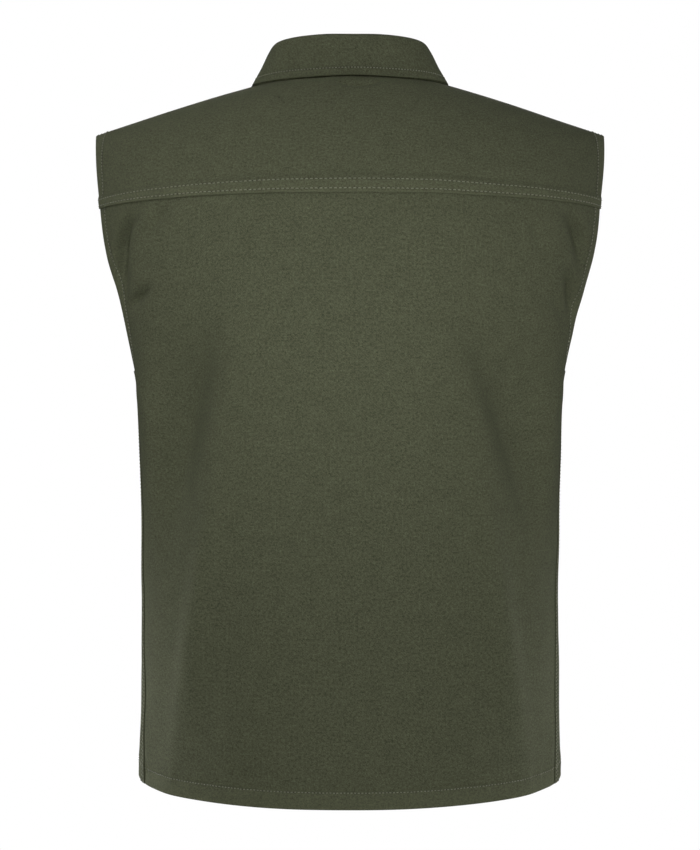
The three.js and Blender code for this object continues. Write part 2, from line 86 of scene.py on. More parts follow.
# Level sections of the body: rise is measured up the cloth from the chest line
BODY = table("rise half_width back front roundness", [
    (-0.4745, 0.1934, 0.140, 0.128, 2.15),
    (-0.395, 0.1919, 0.137, 0.127, 2.1),
    (-0.285, 0.1908, 0.133, 0.128, 2.1),
    (-0.185, 0.1915, 0.134, 0.129, 2.1),
    (-0.125, 0.1930, 0.136, 0.128, 2.1),
    (-0.107, 0.1964, 0.137, 0.128, 2.1),
    (-0.072, 0.2072, 0.138, 0.127, 2.1),
    (-0.036, 0.2185, 0.138, 0.125, 2.1),
    (0.000, 0.2285, 0.137, 0.120, 2.1),
    (0.060, 0.2345, 0.135, 0.104, 2.15),
    (0.120, 0.2380, 0.134, 0.093, 2.35),
    (SHOULDER_RISE, 0.2410, 0.133, 0.082, 2.8),
])

# Collar sections from the centre back round to the front end: roll is the collar's top, edge its outer edge
COLLAR_THICK = 0.0024
COLLAR_ROLL = 0.004
COLLAR_CLEAR = 0.0019
FOOT_DROP = 0.006
LEAF_CROWN = 0.003
CROWN_SHARE = 0.55  # place of the crown on the way from the roll to the edge
COLLAR_END_TURN = 178
COLLAR_HALF = [
    (0, 0.000, 0.057, 0.0250, 0.0000, -0.0050),
    (27, 0.035, 0.052, 0.0252, 0.0350, -0.0064),
    (54, 0.058, 0.036, 0.0255, 0.0650, -0.0066),
    (78, 0.066, 0.014, 0.0245, 0.0850, -0.0060),
    (90, 0.067, -0.003, 0.0210, 0.0915, -0.0052),
    (100, 0.066, -0.029, 0.0090, 0.0970, -0.0170),
    (110, 0.063, -0.045, -0.0050, 0.0980, -0.0330),
    (138, 0.047, -0.069, -0.0370, 0.0880, -0.0740),
    (160, 0.026, -0.081, -0.0560, 0.0730, -0.0990),
    (COLLAR_END_TURN, 0.004, -0.086, -0.0620, 0.0570, -0.1150),
]
COLLAR_MIRRORED = [(-turn, -rx, ry, rz, -ex, ez) for turn, rx, ry, rz, ex, ez in COLLAR_HALF[:0:-1]]
COLLAR = table("turn roll_x roll_y roll_z edge_x edge_z", COLLAR_MIRRORED + COLLAR_HALF)

# Soft folds as strokes over the body, each given by its top, middle and low points (x, z) as seen from
# behind or from the front. A negative depth is a hollow. lean above 0 makes the +X flank the wider one.
Fold = namedtuple("Fold", "top middle low width depth lean", defaults=(0.0,))
BACK_FOLDS = {
    "left_blade": Fold((0.108, -0.172), (0.144, -0.320), (0.165, -0.460), 0.0250, -0.0240, 0.30),
    "left_side_swell": Fold((0.186, -0.205), (0.180, -0.325), (0.182, -0.480), 0.0140, 0.0115),
    "left_crest": Fold((0.106, -0.320), (0.131, -0.460), (0.168, -0.720), 0.0140, 0.0085, -0.30),
    "left_armhole": Fold((0.176, -0.122), (0.201, -0.160), (0.194, -0.226), 0.0060, -0.0150),
    "left_yoke_drag": Fold((0.146, -0.122), (0.164, -0.137), (0.180, -0.160), 0.006, -0.0045),
    "left_armhole_drag": Fold((0.168, -0.192), (0.185, -0.204), (0.197, -0.216), 0.0045, -0.0090),
    "left_armhole_crest": Fold((0.182, -0.190), (0.1885, -0.208), (0.1915, -0.226), 0.004, 0.0012),
    "left_underarm": Fold((0.190, -0.245), (0.182, -0.290), (0.163, -0.330), 0.005, 0.0020, 0.3),
    "left_hem_side": Fold((0.186, -0.540), (0.181, -0.595), (0.176, -0.645), 0.005, 0.0018),
    "right_blade": Fold((-0.084, -0.200), (-0.138, -0.320), (-0.161, -0.437), 0.0230, -0.0205, -0.34),
    "right_side_swell": Fold((-0.186, -0.205), (-0.179, -0.325), (-0.180, -0.470), 0.014, 0.0085),
    "right_crest": Fold((-0.102, -0.320), (-0.129, -0.460), (-0.166, -0.720), 0.0140, 0.0078, 0.30),
    "right_armhole": Fold((-0.176, -0.121), (-0.201, -0.153), (-0.199, -0.192), 0.0060, -0.0125),
    "right_armhole_low": Fold((-0.180, -0.174), (-0.1955, -0.200), (-0.191, -0.238), 0.0055, -0.0120),
    "right_yoke_drag": Fold((-0.146, -0.128), (-0.160, -0.153), (-0.168, -0.178), 0.005, -0.0030),
    "right_yoke_tuck": Fold((-0.141, -0.118), (-0.145, -0.124), (-0.151, -0.131), 0.0024, -0.0024),
    "right_armhole_drag": Fold((-0.166, -0.194), (-0.183, -0.214), (-0.192, -0.238), 0.005, -0.0045),
    "right_underarm": Fold((-0.191, -0.243), (-0.183, -0.290), (-0.168, -0.328), 0.005, 0.0020, -0.3),
    "right_hem_side": Fold((-0.186, -0.540), (-0.180, -0.595), (-0.174, -0.645), 0.005, 0.0016),
    "neck_crease": Fold((0.018, -0.0125), (-0.008, -0.0150), (-0.032, -0.0115), 0.0028, -0.0045),
    "hem_crease": Fold((0.106, -0.600), (0.090, -0.603), (0.074, -0.601), 0.0028, -0.0035),
}
FRONT_FOLDS = {
    "front_left_fall": Fold((0.084, -0.200), (0.100, -0.360), (0.120, -0.590), 0.022, 0.0030, 0.2),
    "front_right_fall": Fold((-0.090, -0.220), (-0.104, -0.380), (-0.118, -0.590), 0.022, 0.0028, -0.2),
    "front_left_armhole": Fold((0.150, -0.135), (0.165, -0.190), (0.160, -0.250), 0.012, -0.0030),
    "front_right_armhole": Fold((-0.152, -0.135), (-0.166, -0.190), (-0.160, -0.246), 0.012, -0.0030),
}
FOLD_FADE = 0.040  # folds fade out this near to the side seams
FOLD_REACH = 3  # widths beyond which a fold is not felt
FOLD_SIDEWAYS = 0.3
STROKE_STEPS = 12

# Gentle unevenness of the cloth, as plane waves from the shortest to the longest
UNEVEN_WAVES = 14
UNEVEN_SHORT = 0.045
UNEVEN_LONG = 0.180
UNEVEN_DEPTH = 0.00014
SEED = 11

# Puckers beside the stitched seams, as ripples of several wavelengths
RIPPLE_WAVES = (0.0072, 0.0091, 0.0118, 0.0153, 0.024, 0.041)
RIPPLE_SUM = 2.4  # brings the sum of the waves to about unit height
PUCKER_DEPTH = 0.0005
PUCKER_WIDTH = 0.007
YOKE_PUCKER = 0.5  # share of the pucker depth at the yoke seam
HEM_RADIUS = 0.1755
HEM_SEED = SEED + 1
SEAM_SEED = SEED + 2

# Stitches: pitch along a row, and distance of each row from its edge
YOKE_PITCH = 0.0040
HEM_PITCH = 0.0030
COLLAR_PITCH = 0.0028
SEAM_PITCH = 0.0032
HEM_STITCH = 0.0135
FACING_STITCH = 0.0115
YOKE_STITCHES = (0.0024, 0.0100)
COLLAR_STITCH = 0.006
PLACKET_STITCH = 0.0032
SEAM_STITCHES = (0.0020, 0.0078)
SHOULDER_STITCH = 0.0085
PANEL_ROW_START = 0.007  # armhole row of the back panel above the underarm
FRONT_ROW_START = 0.012  # armhole row of a front above the underarm
FRONT_ROW_CROWDING = 1.6  # above 1, points crowd towards the underarm
ROW_CLEAR = 0.001  # end of a row clear of the cloth's edge
COLLAR_ROW_CLEAR = 2  # turn that the collar's row stays clear of each end
ROW_POINTS = 900
COLLAR_ROW_POINTS = 700

# Threads, painted shadows at the needle holes, and grooves. One stitch is a tube whose size and lift are in
# thread radii.
STITCH_SHARE = 0.66
STITCH_SHAPE = table("share size lift", [
    (0.0, 0.55, -0.9),
    (0.2, 1.0, 0.5),
    (0.5, 1.0, 0.8),
    (0.8, 1.0, 0.5),
    (1.0, 0.55, -0.9),
])
THREAD = 0.00040
THREAD_SIDES = 6
HOLE_SHADOW_RADIUS = 0.00045
HOLE_SHADOW_LIFT = 0.0001
HOLE_SHADOW_SIDES = 8
GROOVE_DEPTH = 0.0004
GROOVE_WIDTH = 0.0011

# Rims of a sheet, as (turn, reach) steps round its edge from the outer face to the inner one
ROUND_RIM = ((40, 1.0), (90, 1.0), (140, 1.0))
TWO_LAYER_RIM = ((25, 1.0), (60, 0.9), (85, -0.4), (100, -0.4), (115, 1.4), (150, 1.5))

# Buttons
BUTTON_HEIGHTS = np.linspace(-0.100, -0.560, 6)
BUTTON_RADIUS = 0.008
BUTTON_THICK = 0.003
BUTTON_RIM = 0.0016
BUTTON_DISH = 0.0007
BUTTON_LIFT = 0.0012
BUTTON_SIDES = 48
BUTTON_SHARP = 40  # edges that turn by more are kept sharp
DRILL_RADIUS = 0.0009
DRILL_OUT = 0.0016
DRILL_SIDES = 16
SHANK_OUT = 0.0006
BUTTONHOLE_LENGTH = 0.018
BUTTONHOLE_HALF = 0.0018
EDGE_THREAD = 0.0003
EDGE_THREAD_PITCH = 0.0005
EDGE_THREAD_REACH = 0.0018

# Cell sizes and counts of the grids
EDGE_ZONE = 0.018  # width of the fine columns along an edge
EDGE_CELL = 0.0012
EDGE_TURN = 5  # turn in from an edge at which its runs are measured
FAR_RUN = 1.0  # run of a column that no edge finish reaches
HEM_ZONE = 0.020
HEM_CELL = 0.0010
BODY_CELL = 0.0027
ARMHOLE_STEPS = 45
UPPER_CELL = 0.0026
SEAM_ZONE = 0.004
SEAM_CELL = 0.0012
YOKE_CELL = 0.0008
CENTRE_CELL = 0.0022
PLACKET_CELL = 0.0011
SHOULDER_COLUMNS = 46
NECK_COLUMNS = 26
FRONT_TOP_ROWS = 76
COLLAR_STATIONS = 190
COLLAR_EDGE_ZONE = 0.012
COLLAR_EDGE_CELL = 0.0010
COLLAR_COLUMNS = 34
COLLAR_STEPS = 24

# Materials: shades, and the noise layers of the twill's tone from fine to broad
TWILL_SHADES = (0.020, 0.022, 0.0125, 1), (0.078, 0.084, 0.050, 1)
THREAD_SHADES = (0.070, 0.074, 0.048, 1), (0.130, 0.135, 0.092, 1)
# Dark discs of painted shade at the needle holes between stitches
HOLE_SHADOW_SHADES = (0.010, 0.011, 0.007, 1), (0.022, 0.024, 0.015, 1)
BUTTON_SHADES = (0.020, 0.021, 0.013, 1), (0.036, 0.037, 0.024, 1)
FLOOR_SHADES = (0.86, 0.86, 0.86, 1), (0.90, 0.90, 0.90, 1)
Noise = namedtuple("Noise", "scale detail amount")
GRAIN = Noise(900, 2, 1.3)
SLUB = Noise(420, 2, 0.9)
CLOUD = Noise(75, 3, 0.25)
WOBBLE = Noise(420, 1, 5.0)  # unevenness of the twill's ribs
TWILL_PITCH = 0.0013
YARN_PITCH = 0.00055
YARN_SHARE = 0.35  # height of the yarns beside the ribs
WEAVE_TONE = 0.10
# Painted highlight: the rims and doubled bands are painted this much paler
PAINTED_HIGHLIGHT_TONE = 0.25
DOUBLED_PAINTED_HIGHLIGHT = 0.4  # painted highlight of the doubled edges
MIDDLE_TONE = 0.5
WEAVE_HEIGHT = 0.5  # height of the weave beside the grain
TWILL_BUMP = 0.35
TWILL_BUMP_DEPTH = 0.0003
TWILL_ROUGH = 0.80
TWILL_ROUGH_SPREAD = 0.16
TWILL_SPECULAR = 0.06
FUZZ_DEPTH = 0.0002

# Each piece as it was cut: the rectangle around it laid flat, and its own area
Sheet = namedtuple("Sheet", "width length area held rests_on")

# Camera, floor and lights
CAMERA_PLACE = (0.0, 1.300, -0.315)
CAMERA_LENS = 59.52
FLOOR_Z = -1.45
FLOOR_RADIUS = 2.4
FLOOR_SIDES = 96
AMBIENT = 0.32
Light = namedtuple("Light", "name place target size spread power")
LIGHTS = [
    Light("key", (0.0, 1.30, -0.25), (0, 0.10, -0.22), 0.5, 110, 2.15),
    Light("centre", (0.0, 1.25, -0.25), (0, 0.10, -0.24), 0.5, 50, 0.10),
    Light("left_wing", (0.12, 1.30, -0.22), (0.15, 0.10, -0.22), 0.3, 26, 0.14),
    Light("right_wing", (-0.12, 1.30, -0.22), (-0.15, 0.10, -0.22), 0.3, 26, 0.15),
    Light("left_high", (0.84, 1.00, 0.45), (0.10, 0.05, -0.35), 0.5, 140, 2.3),
    Light("left_middle", (0.84, 1.00, -0.40), (0.10, 0.05, -0.35), 0.5, 140, 0.55),
    Light("right_middle", (-0.84, 1.00, -0.30), (-0.10, 0.05, -0.35), 0.5, 140, 0.4),
    Light("right_low", (-0.84, 1.00, -1.00), (-0.10, 0.05, -0.35), 0.5, 140, 2.1),
    Light("left_rim", (1.28, -0.23, 0.45), (0.10, 0.05, -0.35), 0.5, 140, 1.5),
    Light("right_rim", (-1.28, -0.23, 0.30), (-0.10, 0.05, -0.35), 0.5, 140, 2.2),
    Light("left_shoulder", (0.90, 0.30, 0.90), (0.20, 0.05, -0.02), 0.3, 20, 0.08),
    Light("left_edge", (1.16, -0.31, -0.75), (0.17, 0.05, -0.58), 0.2, 22, 0.25),
    Light("right_edge", (-1.16, -0.31, -0.75), (-0.17, 0.05, -0.58), 0.2, 22, 0.17),
    Light("under", (0.0, 0.90, -1.20), (0, 0.10, -0.72), 0.4, 20, 0.09),
    Light("top", (0.0, 0.90, 1.00), (0, 0.05, 0.08), 0.3, 18, 0.085),
    Light("front_fill", (0.0, -1.8, 0.3), (0, 0, -0.3), 1.2, 180, 40),
]


# Small helpers
def smooth(value, low, high):
    """0 below low, 1 above high and a smooth ramp between."""
    t = np.clip((value - low) / (high - low), 0, 1)
    return t * t * (3 - 2 * t)


def unit(vectors):
    length = np.linalg.norm(vectors, axis=-1, keepdims=True)
    return vectors / np.maximum(length, 1e-12)


def signed_power(value, power):
    return np.sign(value) * np.abs(value) ** power


def stations(*zones):
    """Places along a run that starts at 0, from zones of (end, cell size)."""
    places = [np.zeros(1)]
    start = 0.0
    for end, cell in zones:
        count = max(1, round((end - start) / cell))
        places.append(np.linspace(start, end, count + 1)[1:])
        start = end
    return np.concatenate(places)


def run_along(points, axis=0):
    """Run along each line of points that follows an axis, from 0 at its first point."""
    runs = np.linalg.norm(np.diff(points, axis=axis), axis=-1).cumsum(axis=axis)
    return np.insert(runs, 0, 0.0, axis=axis)


def point_at(at, run, points):
    """Points at places along a line of points with known runs."""
    return np.stack([np.interp(at, run, column) for column in points.T], axis=-1)


def cubic(t, low, high, low_slope, high_slope):
    ends = (2 * t**3 - 3 * t**2 + 1) * low + (3 * t**2 - 2 * t**3) * high
    return ends + (t**3 - 2 * t**2 + t) * low_slope + (t**3 - t**2) * high_slope


def ring(sides, first, second):
    """Points round the unit circles that two directions span."""
    turn = (np.arange(sides) * 2 * np.pi / sides)[:, None]
    return np.cos(turn) * first[..., None, :] + np.sin(turn) * second[..., None, :]


def band(near, far):
    """Faces between closed rings of points."""
    return np.stack([near, np.roll(near, -1, -1), np.roll(far, -1, -1), far], axis=-1).reshape(-1, 4)


def sample(source, key, column, at):
    """Values of one column of a table at places along its key column, by smooth cubic pieces."""
    keys, values = source[key], source[column]
    last = len(keys) - 1
    before = np.maximum(np.arange(len(keys)) - 1, 0)
    after = np.minimum(np.arange(len(keys)) + 1, last)
    slopes = (values[after] - values[before]) / (keys[after] - keys[before])
    at = np.clip(at, keys[0], keys[-1])
    i = np.clip(np.searchsorted(keys, at) - 1, 0, last - 1)
    span = keys[i + 1] - keys[i]
    t = (at - keys[i]) / span
    return cubic(t, values[i], values[i + 1], span * slopes[i], span * slopes[i + 1])


# Body form: a place on it is an angle round the body and a rise up the cloth. The angle is 0 at the
# wearer's left side, 90 at the centre back and -90 at the centre front.
def section(column, rise):
    return sample(BODY, "rise", column, rise)


def shoulder_line(x):
    out = np.abs(x)
    cap = (SHOULDER_CAP_HALF**2 - out**2) / (2 * SHOULDER_CAP_HALF)
    inner = SHOULDER_FALL * (cap - SHOULDER_CAP_HALF + NECK_HALF)
    return np.where(out >= SHOULDER_CAP_HALF, -SHOULDER_FALL * (out - NECK_HALF), inner)


def body_point(angle, rise):
    angle, rise = np.broadcast_arrays(angle, rise)
    power = 2 / section("roundness", rise)
    depth = np.where(angle >= 0, section("back", rise), section("front", rise))
    x = section("half_width", rise) * signed_power(np.cos(np.radians(angle)), power)
    y = depth * signed_power(np.sin(np.radians(angle)), power)
    turn = np.maximum(rise, 0) / SHOULDER_RISE * np.pi / 2
    z = CHEST_Z + np.where(rise <= 0, rise, (shoulder_line(x) - CHEST_Z) * np.sin(turn))
    return np.stack([x, y * np.cos(turn), z], axis=-1)


def body_normal(angle, rise):
    turn_step, rise_step = 1.0, 0.002
    around = body_point(angle + turn_step, rise) - body_point(angle - turn_step, rise)
    up = body_point(angle, rise + rise_step) - body_point(angle, rise - rise_step)
    return unit(np.cross(around, up))


def angle_at_x(x, rise):
    share = np.clip(x / section("half_width", rise), -1, 1)
    return np.degrees(np.arccos(signed_power(share, section("roundness", rise) / 2)))


def rise_at_z(x, z):
    lift = np.clip((z - CHEST_Z) / (shoulder_line(x) - CHEST_Z), 0, 1)
    return np.where(z <= CHEST_Z, z - CHEST_Z, np.arcsin(lift) / (np.pi / 2) * SHOULDER_RISE)


def rise_along(angle, height_at_x):
    """Rise at which the body form reaches a height, found along each angle."""
    rise = np.zeros_like(np.asarray(angle, float))
    for _ in range(RISE_PASSES):
        x = body_point(angle, rise)[..., 0]
        rise = rise_at_z(x, height_at_x(x))
    return rise


def neck_z(x, drop):
    return -drop * np.sqrt(np.maximum(0, 1 - (x / NECK_HALF) ** 2))


def metres_per_degree(angle, rise):
    return np.linalg.norm(body_point(angle + 1, rise) - body_point(angle - 1, rise), axis=-1) / 2


def moved_in(edge, run, rise, way):
    """Angle at a run in from an edge. way is 1 on the back and -1 on a front."""
    return edge + way * run / metres_per_degree(edge + way * EDGE_TURN, rise)


HEM_RISE = HEM_Z - CHEST_Z
UNDERARM_RISE = UNDERARM_Z - CHEST_Z
WIDEST_RISE = ARMHOLE_WIDEST_Z - CHEST_Z
TIP_ANGLE = float(angle_at_x(SHOULDER_HALF, SHOULDER_RISE))
NECK_ANGLE = float(angle_at_x(NECK_HALF, SHOULDER_RISE))


# Edges of the cloth pieces
def seam_rise(angle):
    return rise_along(angle, lambda x: np.full_like(x, YOKE_Z))


TIP_SEAM_RISE = float(seam_rise(TIP_ANGLE))


def side_seam_angle(rise):
    up = (rise - HEM_RISE) / (UNDERARM_RISE - HEM_RISE)
    return SIDE_SEAM_BOTTOM + (SIDE_SEAM_TOP - SIDE_SEAM_BOTTOM) * up


def armhole_angle(rise, foot, widest):
    """Armhole edge from its foot at the side seam, out to its widest and in to the shoulder tip."""
    down = np.clip((WIDEST_RISE - rise) / (WIDEST_RISE - UNDERARM_RISE), 0, 1)
    up = np.clip((rise - WIDEST_RISE) / (SHOULDER_RISE - WIDEST_RISE), 0, 1)
    low = foot + (widest - foot) * np.sqrt(1 - down**2)
    high = widest + (np.sign(widest) * TIP_ANGLE - widest) * up**2
    return np.where(rise < WIDEST_RISE, low, high)


def back_edge(rise):
    armhole = armhole_angle(rise, SIDE_SEAM_TOP, ARMHOLE_BACK)
    return np.where(rise <= UNDERARM_RISE, side_seam_angle(rise), armhole)


def front_edge(rise):
    low = np.minimum(rise, UNDERARM_RISE)
    foot = side_seam_angle(low) + SEAM_LAP / metres_per_degree(SIDE_SEAM_TOP, low)
    return np.where(rise <= UNDERARM_RISE, foot, armhole_angle(rise, foot, ARMHOLE_FRONT))


# Relief of the cloth, shared by all pieces so that lapped layers stay clear of each other
def stroke_relief(fold, seen):
    """Outward offset of one fold at points (x, z) seen from behind or from the front."""
    t = np.linspace(0, 1, STROKE_STEPS + 1)[:, None]
    top, middle, low = (np.array(p) for p in (fold.top, fold.middle, fold.low))
    path = (1 - t) * (1 - 2 * t) * top + 4 * t * (1 - t) * middle + t * (2 * t - 1) * low
    best = np.full(len(seen), np.inf)
    along = np.zeros(len(seen))
    beside = np.zeros(len(seen))
    for i in range(STROKE_STEPS):
        step = path[i + 1] - path[i]
        share = np.clip(((seen - path[i]) @ step) / (step @ step), 0, 1)
        away = seen - path[i] - share[:, None] * step
        distance = np.hypot(away[:, 0], away[:, 1])
        nearer = distance < best
        best = np.where(nearer, distance, best)
        along = np.where(nearer, (i + share) / STROKE_STEPS, along)
        beside = np.where(nearer, away[:, 0], beside)
    width = fold.width * (1 + fold.lean * np.sign(beside))
    return fold.depth * np.sin(np.pi * along) ** 2 * np.exp(-((best / width) ** 2))


def fold_relief(point):
    y, seen = point[..., 1], point[..., ::2]
    total = np.zeros(y.shape)
    for facing, folds in ((y >= 0, BACK_FOLDS), (y < 0, FRONT_FOLDS)):
        for fold in folds.values():
            ends = np.array([fold.top, fold.middle, fold.low])
            reach = FOLD_REACH * fold.width
            inside = (seen > ends.min(axis=0) - reach) & (seen < ends.max(axis=0) + reach)
            near = facing & inside.all(axis=-1)
            total[near] += stroke_relief(fold, seen[near])
    return total * smooth(np.abs(y), 0, FOLD_FADE)


def uneven_relief(point):
    rng = np.random.default_rng(SEED)
    total = np.zeros(point.shape[:-1])
    for wavelength in np.geomspace(UNEVEN_SHORT, UNEVEN_LONG, UNEVEN_WAVES):
        direction = unit(rng.normal(size=3))
        phase = rng.uniform(0, 2 * np.pi)
        height = UNEVEN_DEPTH * math.sqrt(wavelength / UNEVEN_LONG)
        total += height * np.sin(point @ direction * (2 * np.pi / wavelength) + phase)
    return total


def ripple(along, seed):
    """Uneven ripples of about unit height along a stitched seam."""
    rng = np.random.default_rng(seed)
    total = np.zeros(np.shape(along))
    for wavelength in RIPPLE_WAVES:
        total += np.sin(along * (2 * np.pi / wavelength) + rng.uniform(0, 2 * np.pi))
    return total / RIPPLE_SUM


def groove(distance):
    return -GROOVE_DEPTH * np.exp(-((distance / GROOVE_WIDTH) ** 2))


def pucker(distance, along, seed):
    return PUCKER_DEPTH * ripple(along, seed) * np.exp(-((distance / PUCKER_WIDTH) ** 2))


def relief(point):
    x, y, z = np.moveaxis(point, -1, 0)
    from_hem = z - HEM_Z - HEM_STITCH
    round_hem = np.arctan2(y, x) * HEM_RADIUS
    total = uneven_relief(point)
    total += pucker(from_hem, round_hem, HEM_SEED) + groove(from_hem)
    return total + YOKE_PUCKER * pucker(z - YOKE_Z - SEAM_LAP / 2, x, SEAM_SEED) * (y > 0)


# Meshes
def make_object(name, points, faces, material, cloth=None):
    mesh = bpy.data.meshes.new(name)
    mesh.from_pydata(points.tolist(), [], faces)
    mesh.update()
    mesh.polygons.foreach_set("use_smooth", np.ones(len(mesh.polygons), bool))
    if cloth is not None:
        attribute = mesh.attributes.new("cloth", "FLOAT_VECTOR", "POINT")
        attribute.data.foreach_set("vector", cloth.astype(np.float32).ravel())
    mesh.materials.append(material)
    piece = bpy.data.objects.new(name, mesh)
    bpy.context.scene.collection.objects.link(piece)
    return piece


def cloth_places(outer):
    """Runs along the cloth at each grid point, across from the middle column and up from the first row."""
    across, upward = run_along(outer, 1), run_along(outer)
    middle = outer.shape[1] // 2
    return np.stack([across - across[:, middle:middle + 1], upward, np.zeros_like(across)], axis=-1)


def corners(index):
    """Corners of the cells of a grid, in order round each cell."""
    return index[:-1, :-1], index[:-1, 1:], index[1:, 1:], index[1:, :-1]


def hole_walls(index, cut, shift):
    """Faces round the cut cells of a sheet, from its outer face to the inner one."""
    kept = ~cut
    a, b, c, d = corners(index)
    walls = []
    for near, far, step, axis in ((a, d, 1, 1), (c, b, -1, 1), (b, a, 1, 0), (d, c, -1, 0)):
        beside_cut = kept & np.roll(cut, step, axis)
        near, far = near[beside_cut], far[beside_cut]
        walls.append(np.stack([near, far, far + shift, near + shift], axis=-1))
    return walls


def sheet_object(name, outer, inner, material, rim=ROUND_RIM, cut=None, painted_highlight=0.0):
    """Closed sheet from its outer and inner grids. The rim rounds the edge, as (turn, reach) steps, cut
    says which cells are left out as holes, and painted_highlight is how far the cloth is painted paler, a
    painted highlight."""
    rows, columns = outer.shape[:2]
    index = np.arange(rows * columns).reshape(rows, columns)
    border = np.concatenate([index[0, :-1], index[:-1, -1], index[-1, :0:-1], index[:0:-1, 0]])
    outward = np.zeros_like(outer)
    for edge, inside in ((0, 1), (-1, -2)):
        outward[edge] += unit(outer[edge] - outer[inside])
        outward[:, edge] += unit(outer[:, edge] - outer[:, inside])
    places = cloth_places(outer)
    places[..., 2] = painted_highlight
    places = places.reshape(-1, 3)
    outer, inner = outer.reshape(-1, 3), inner.reshape(-1, 3)
    middle = (outer + inner)[border] / 2
    half = (outer - inner)[border] / 2
    reach = unit(outward.reshape(-1, 3)[border]) * np.linalg.norm(half, axis=1)[:, None]
    rings = [middle + half * math.cos(math.radians(a)) + reach * share * math.sin(math.radians(a))
             for a, share in rim]
    points = np.concatenate([outer, inner, *rings])
    # The rims get the full painted highlight
    rim_places = places[border] * (1, 1, 0) + (0, 0, 1)
    cloth = np.concatenate([places, places] + [rim_places] * len(rings))
    cells = np.stack(corners(index), axis=-1)
    if cut is None:
        cut = np.zeros(cells.shape[:2], bool)
    front = cells[~cut]
    faces = [front, front[:, ::-1] + len(outer), *hole_walls(index, cut, len(outer))]
    first_ring = 2 * len(outer)
    loops = [border] + [first_ring + k * len(border) + np.arange(len(border)) for k in range(len(rings))]
    loops.append(border + len(outer))
    for near, far in zip(loops, loops[1:]):
        faces.append(np.stack([near, far, np.roll(far, -1), np.roll(near, -1)], axis=-1))
    return make_object(name, points, np.concatenate(faces).tolist(), material, cloth)


def cloth_sheet(name, angle, rise, lap, thick, material, side=1, cut=None):
    """Sheet on the body form. lap lifts its outer face off the form. side -1 mirrors it to the right."""
    outer, normal = cloth_face(angle, rise, lap, side)
    inner = outer - normal * thick[..., None]
    # Doubled bands are painted paler, a painted highlight
    painted_highlight = DOUBLED_PAINTED_HIGHLIGHT * (thick > CLOTH)
    if side < 0:
        outer, inner, painted_highlight = outer[:, ::-1], inner[:, ::-1], painted_highlight[:, ::-1]
    return sheet_object(name, outer, inner, material, cut=cut, painted_highlight=painted_highlight)


def cloth_face(angle, rise, lap, side=1):
    mirror = np.array([side, 1, 1])
    point = body_point(angle, rise) * mirror
    normal = body_normal(angle, rise) * mirror
    push = unit(normal * (FOLD_SIDEWAYS, 1, 1)) * fold_relief(point)[..., None]
    return point + normal * (lap + relief(point))[..., None] + push, normal


Threads = namedtuple("Threads", "start end out radius")


def stitch_row(point, normal, pitch):
    """Stitches along a dense path on the cloth."""
    run = run_along(point)
    count = int(run[-1] / pitch)
    middle = (np.arange(count) + 0.5) * run[-1] / count
    half = pitch * STITCH_SHARE / 2
    ends = [point_at(at, run, point) for at in (middle - half, middle + half)]
    return Threads(*ends, unit(point_at(middle, run, normal)), THREAD)


def thread_tubes(threads):
    """Points and faces of short threads that dip into the cloth at both ends."""
    share = STITCH_SHAPE["share"]
    size = STITCH_SHAPE["size"] * threads.radius
    lift = STITCH_SHAPE["lift"] * threads.radius
    out = threads.out[:, None]
    place = threads.start[:, None] + share[:, None] * (threads.end - threads.start)[:, None]
    beside = unit(np.cross(threads.out, threads.end - threads.start))[:, None]
    around = ring(THREAD_SIDES, beside, out)
    points = (place + out * lift[:, None])[:, :, None] + around * size[:, None, None]
    rings = np.arange(points[..., 0].size).reshape(len(out), len(share), THREAD_SIDES)
    sides = band(rings[:, :-1], rings[:, 1:])
    faces = sides.tolist() + rings[:, 0, ::-1].tolist() + rings[:, -1].tolist()
    return points.reshape(-1, 3), faces


def hole_shadow_discs(threads):
    """Painted shadows of the needle holes between the stitches of a row, as small dark discs just above the
    cloth.
    """
    place = (threads.end[:-1] + threads.start[1:]) / 2 + threads.out[1:] * HOLE_SHADOW_LIFT
    across = unit(threads.end - threads.start)[1:]
    beside = np.cross(threads.out[1:], across)
    points = place[:, None] + ring(HOLE_SHADOW_SIDES, across, beside) * HOLE_SHADOW_RADIUS
    faces = np.arange(points[..., 0].size).reshape(len(place), HOLE_SHADOW_SIDES)
    return points.reshape(-1, 3), faces.tolist()


def joined(name, parts, material):
    """One object from several lists of points and faces."""
    points, faces = [], []
    base = 0
    for part_points, part_faces in parts:
        points.append(part_points)
        faces.extend([[i + base for i in face] for face in part_faces])
        base += len(part_points)
    return make_object(name, np.concatenate(points), faces, material)


# Materials
def new_material(name):
    material = bpy.data.materials.new(name)
    material.use_nodes = True
    shader = material.node_tree.nodes["Principled BSDF"]
    return material, material.node_tree, shader


def add_node(tree, kind, inputs=(), **settings):
    """New node with its settings and inputs. An input is a plain value or another node's output."""
    made = tree.nodes.new(kind)
    for name, value in settings.items():
        setattr(made, name, value)
    for key, value in dict(inputs).items():
        if isinstance(value, bpy.types.NodeSocket):
            tree.links.new(value, made.inputs[key])
        else:
            made.inputs[key].default_value = value
    return made


def math_node(tree, operation, *values):
    return add_node(tree, "ShaderNodeMath", enumerate(values), operation=operation).outputs[0]


def noise_node(tree, place, scale, detail, distortion=0.0):
    values = {"Vector": place, "Scale": scale, "Detail": detail, "Distortion": distortion}
    return add_node(tree, "ShaderNodeTexNoise", values).outputs[0]


def shade_between(tree, shader, factor, shades):
    values = {"Factor": factor, "A": shades[0], "B": shades[1]}
    mix = add_node(tree, "ShaderNodeMix", values, data_type="RGBA")
    tree.links.new(mix.outputs["Result"], shader.inputs["Base Color"])


def add_bump(tree, shader, height, strength, distance):
    bump = add_node(tree, "ShaderNodeBump", {"Strength": strength, "Distance": distance, "Height": height})
    tree.links.new(bump.outputs[0], shader.inputs["Normal"])


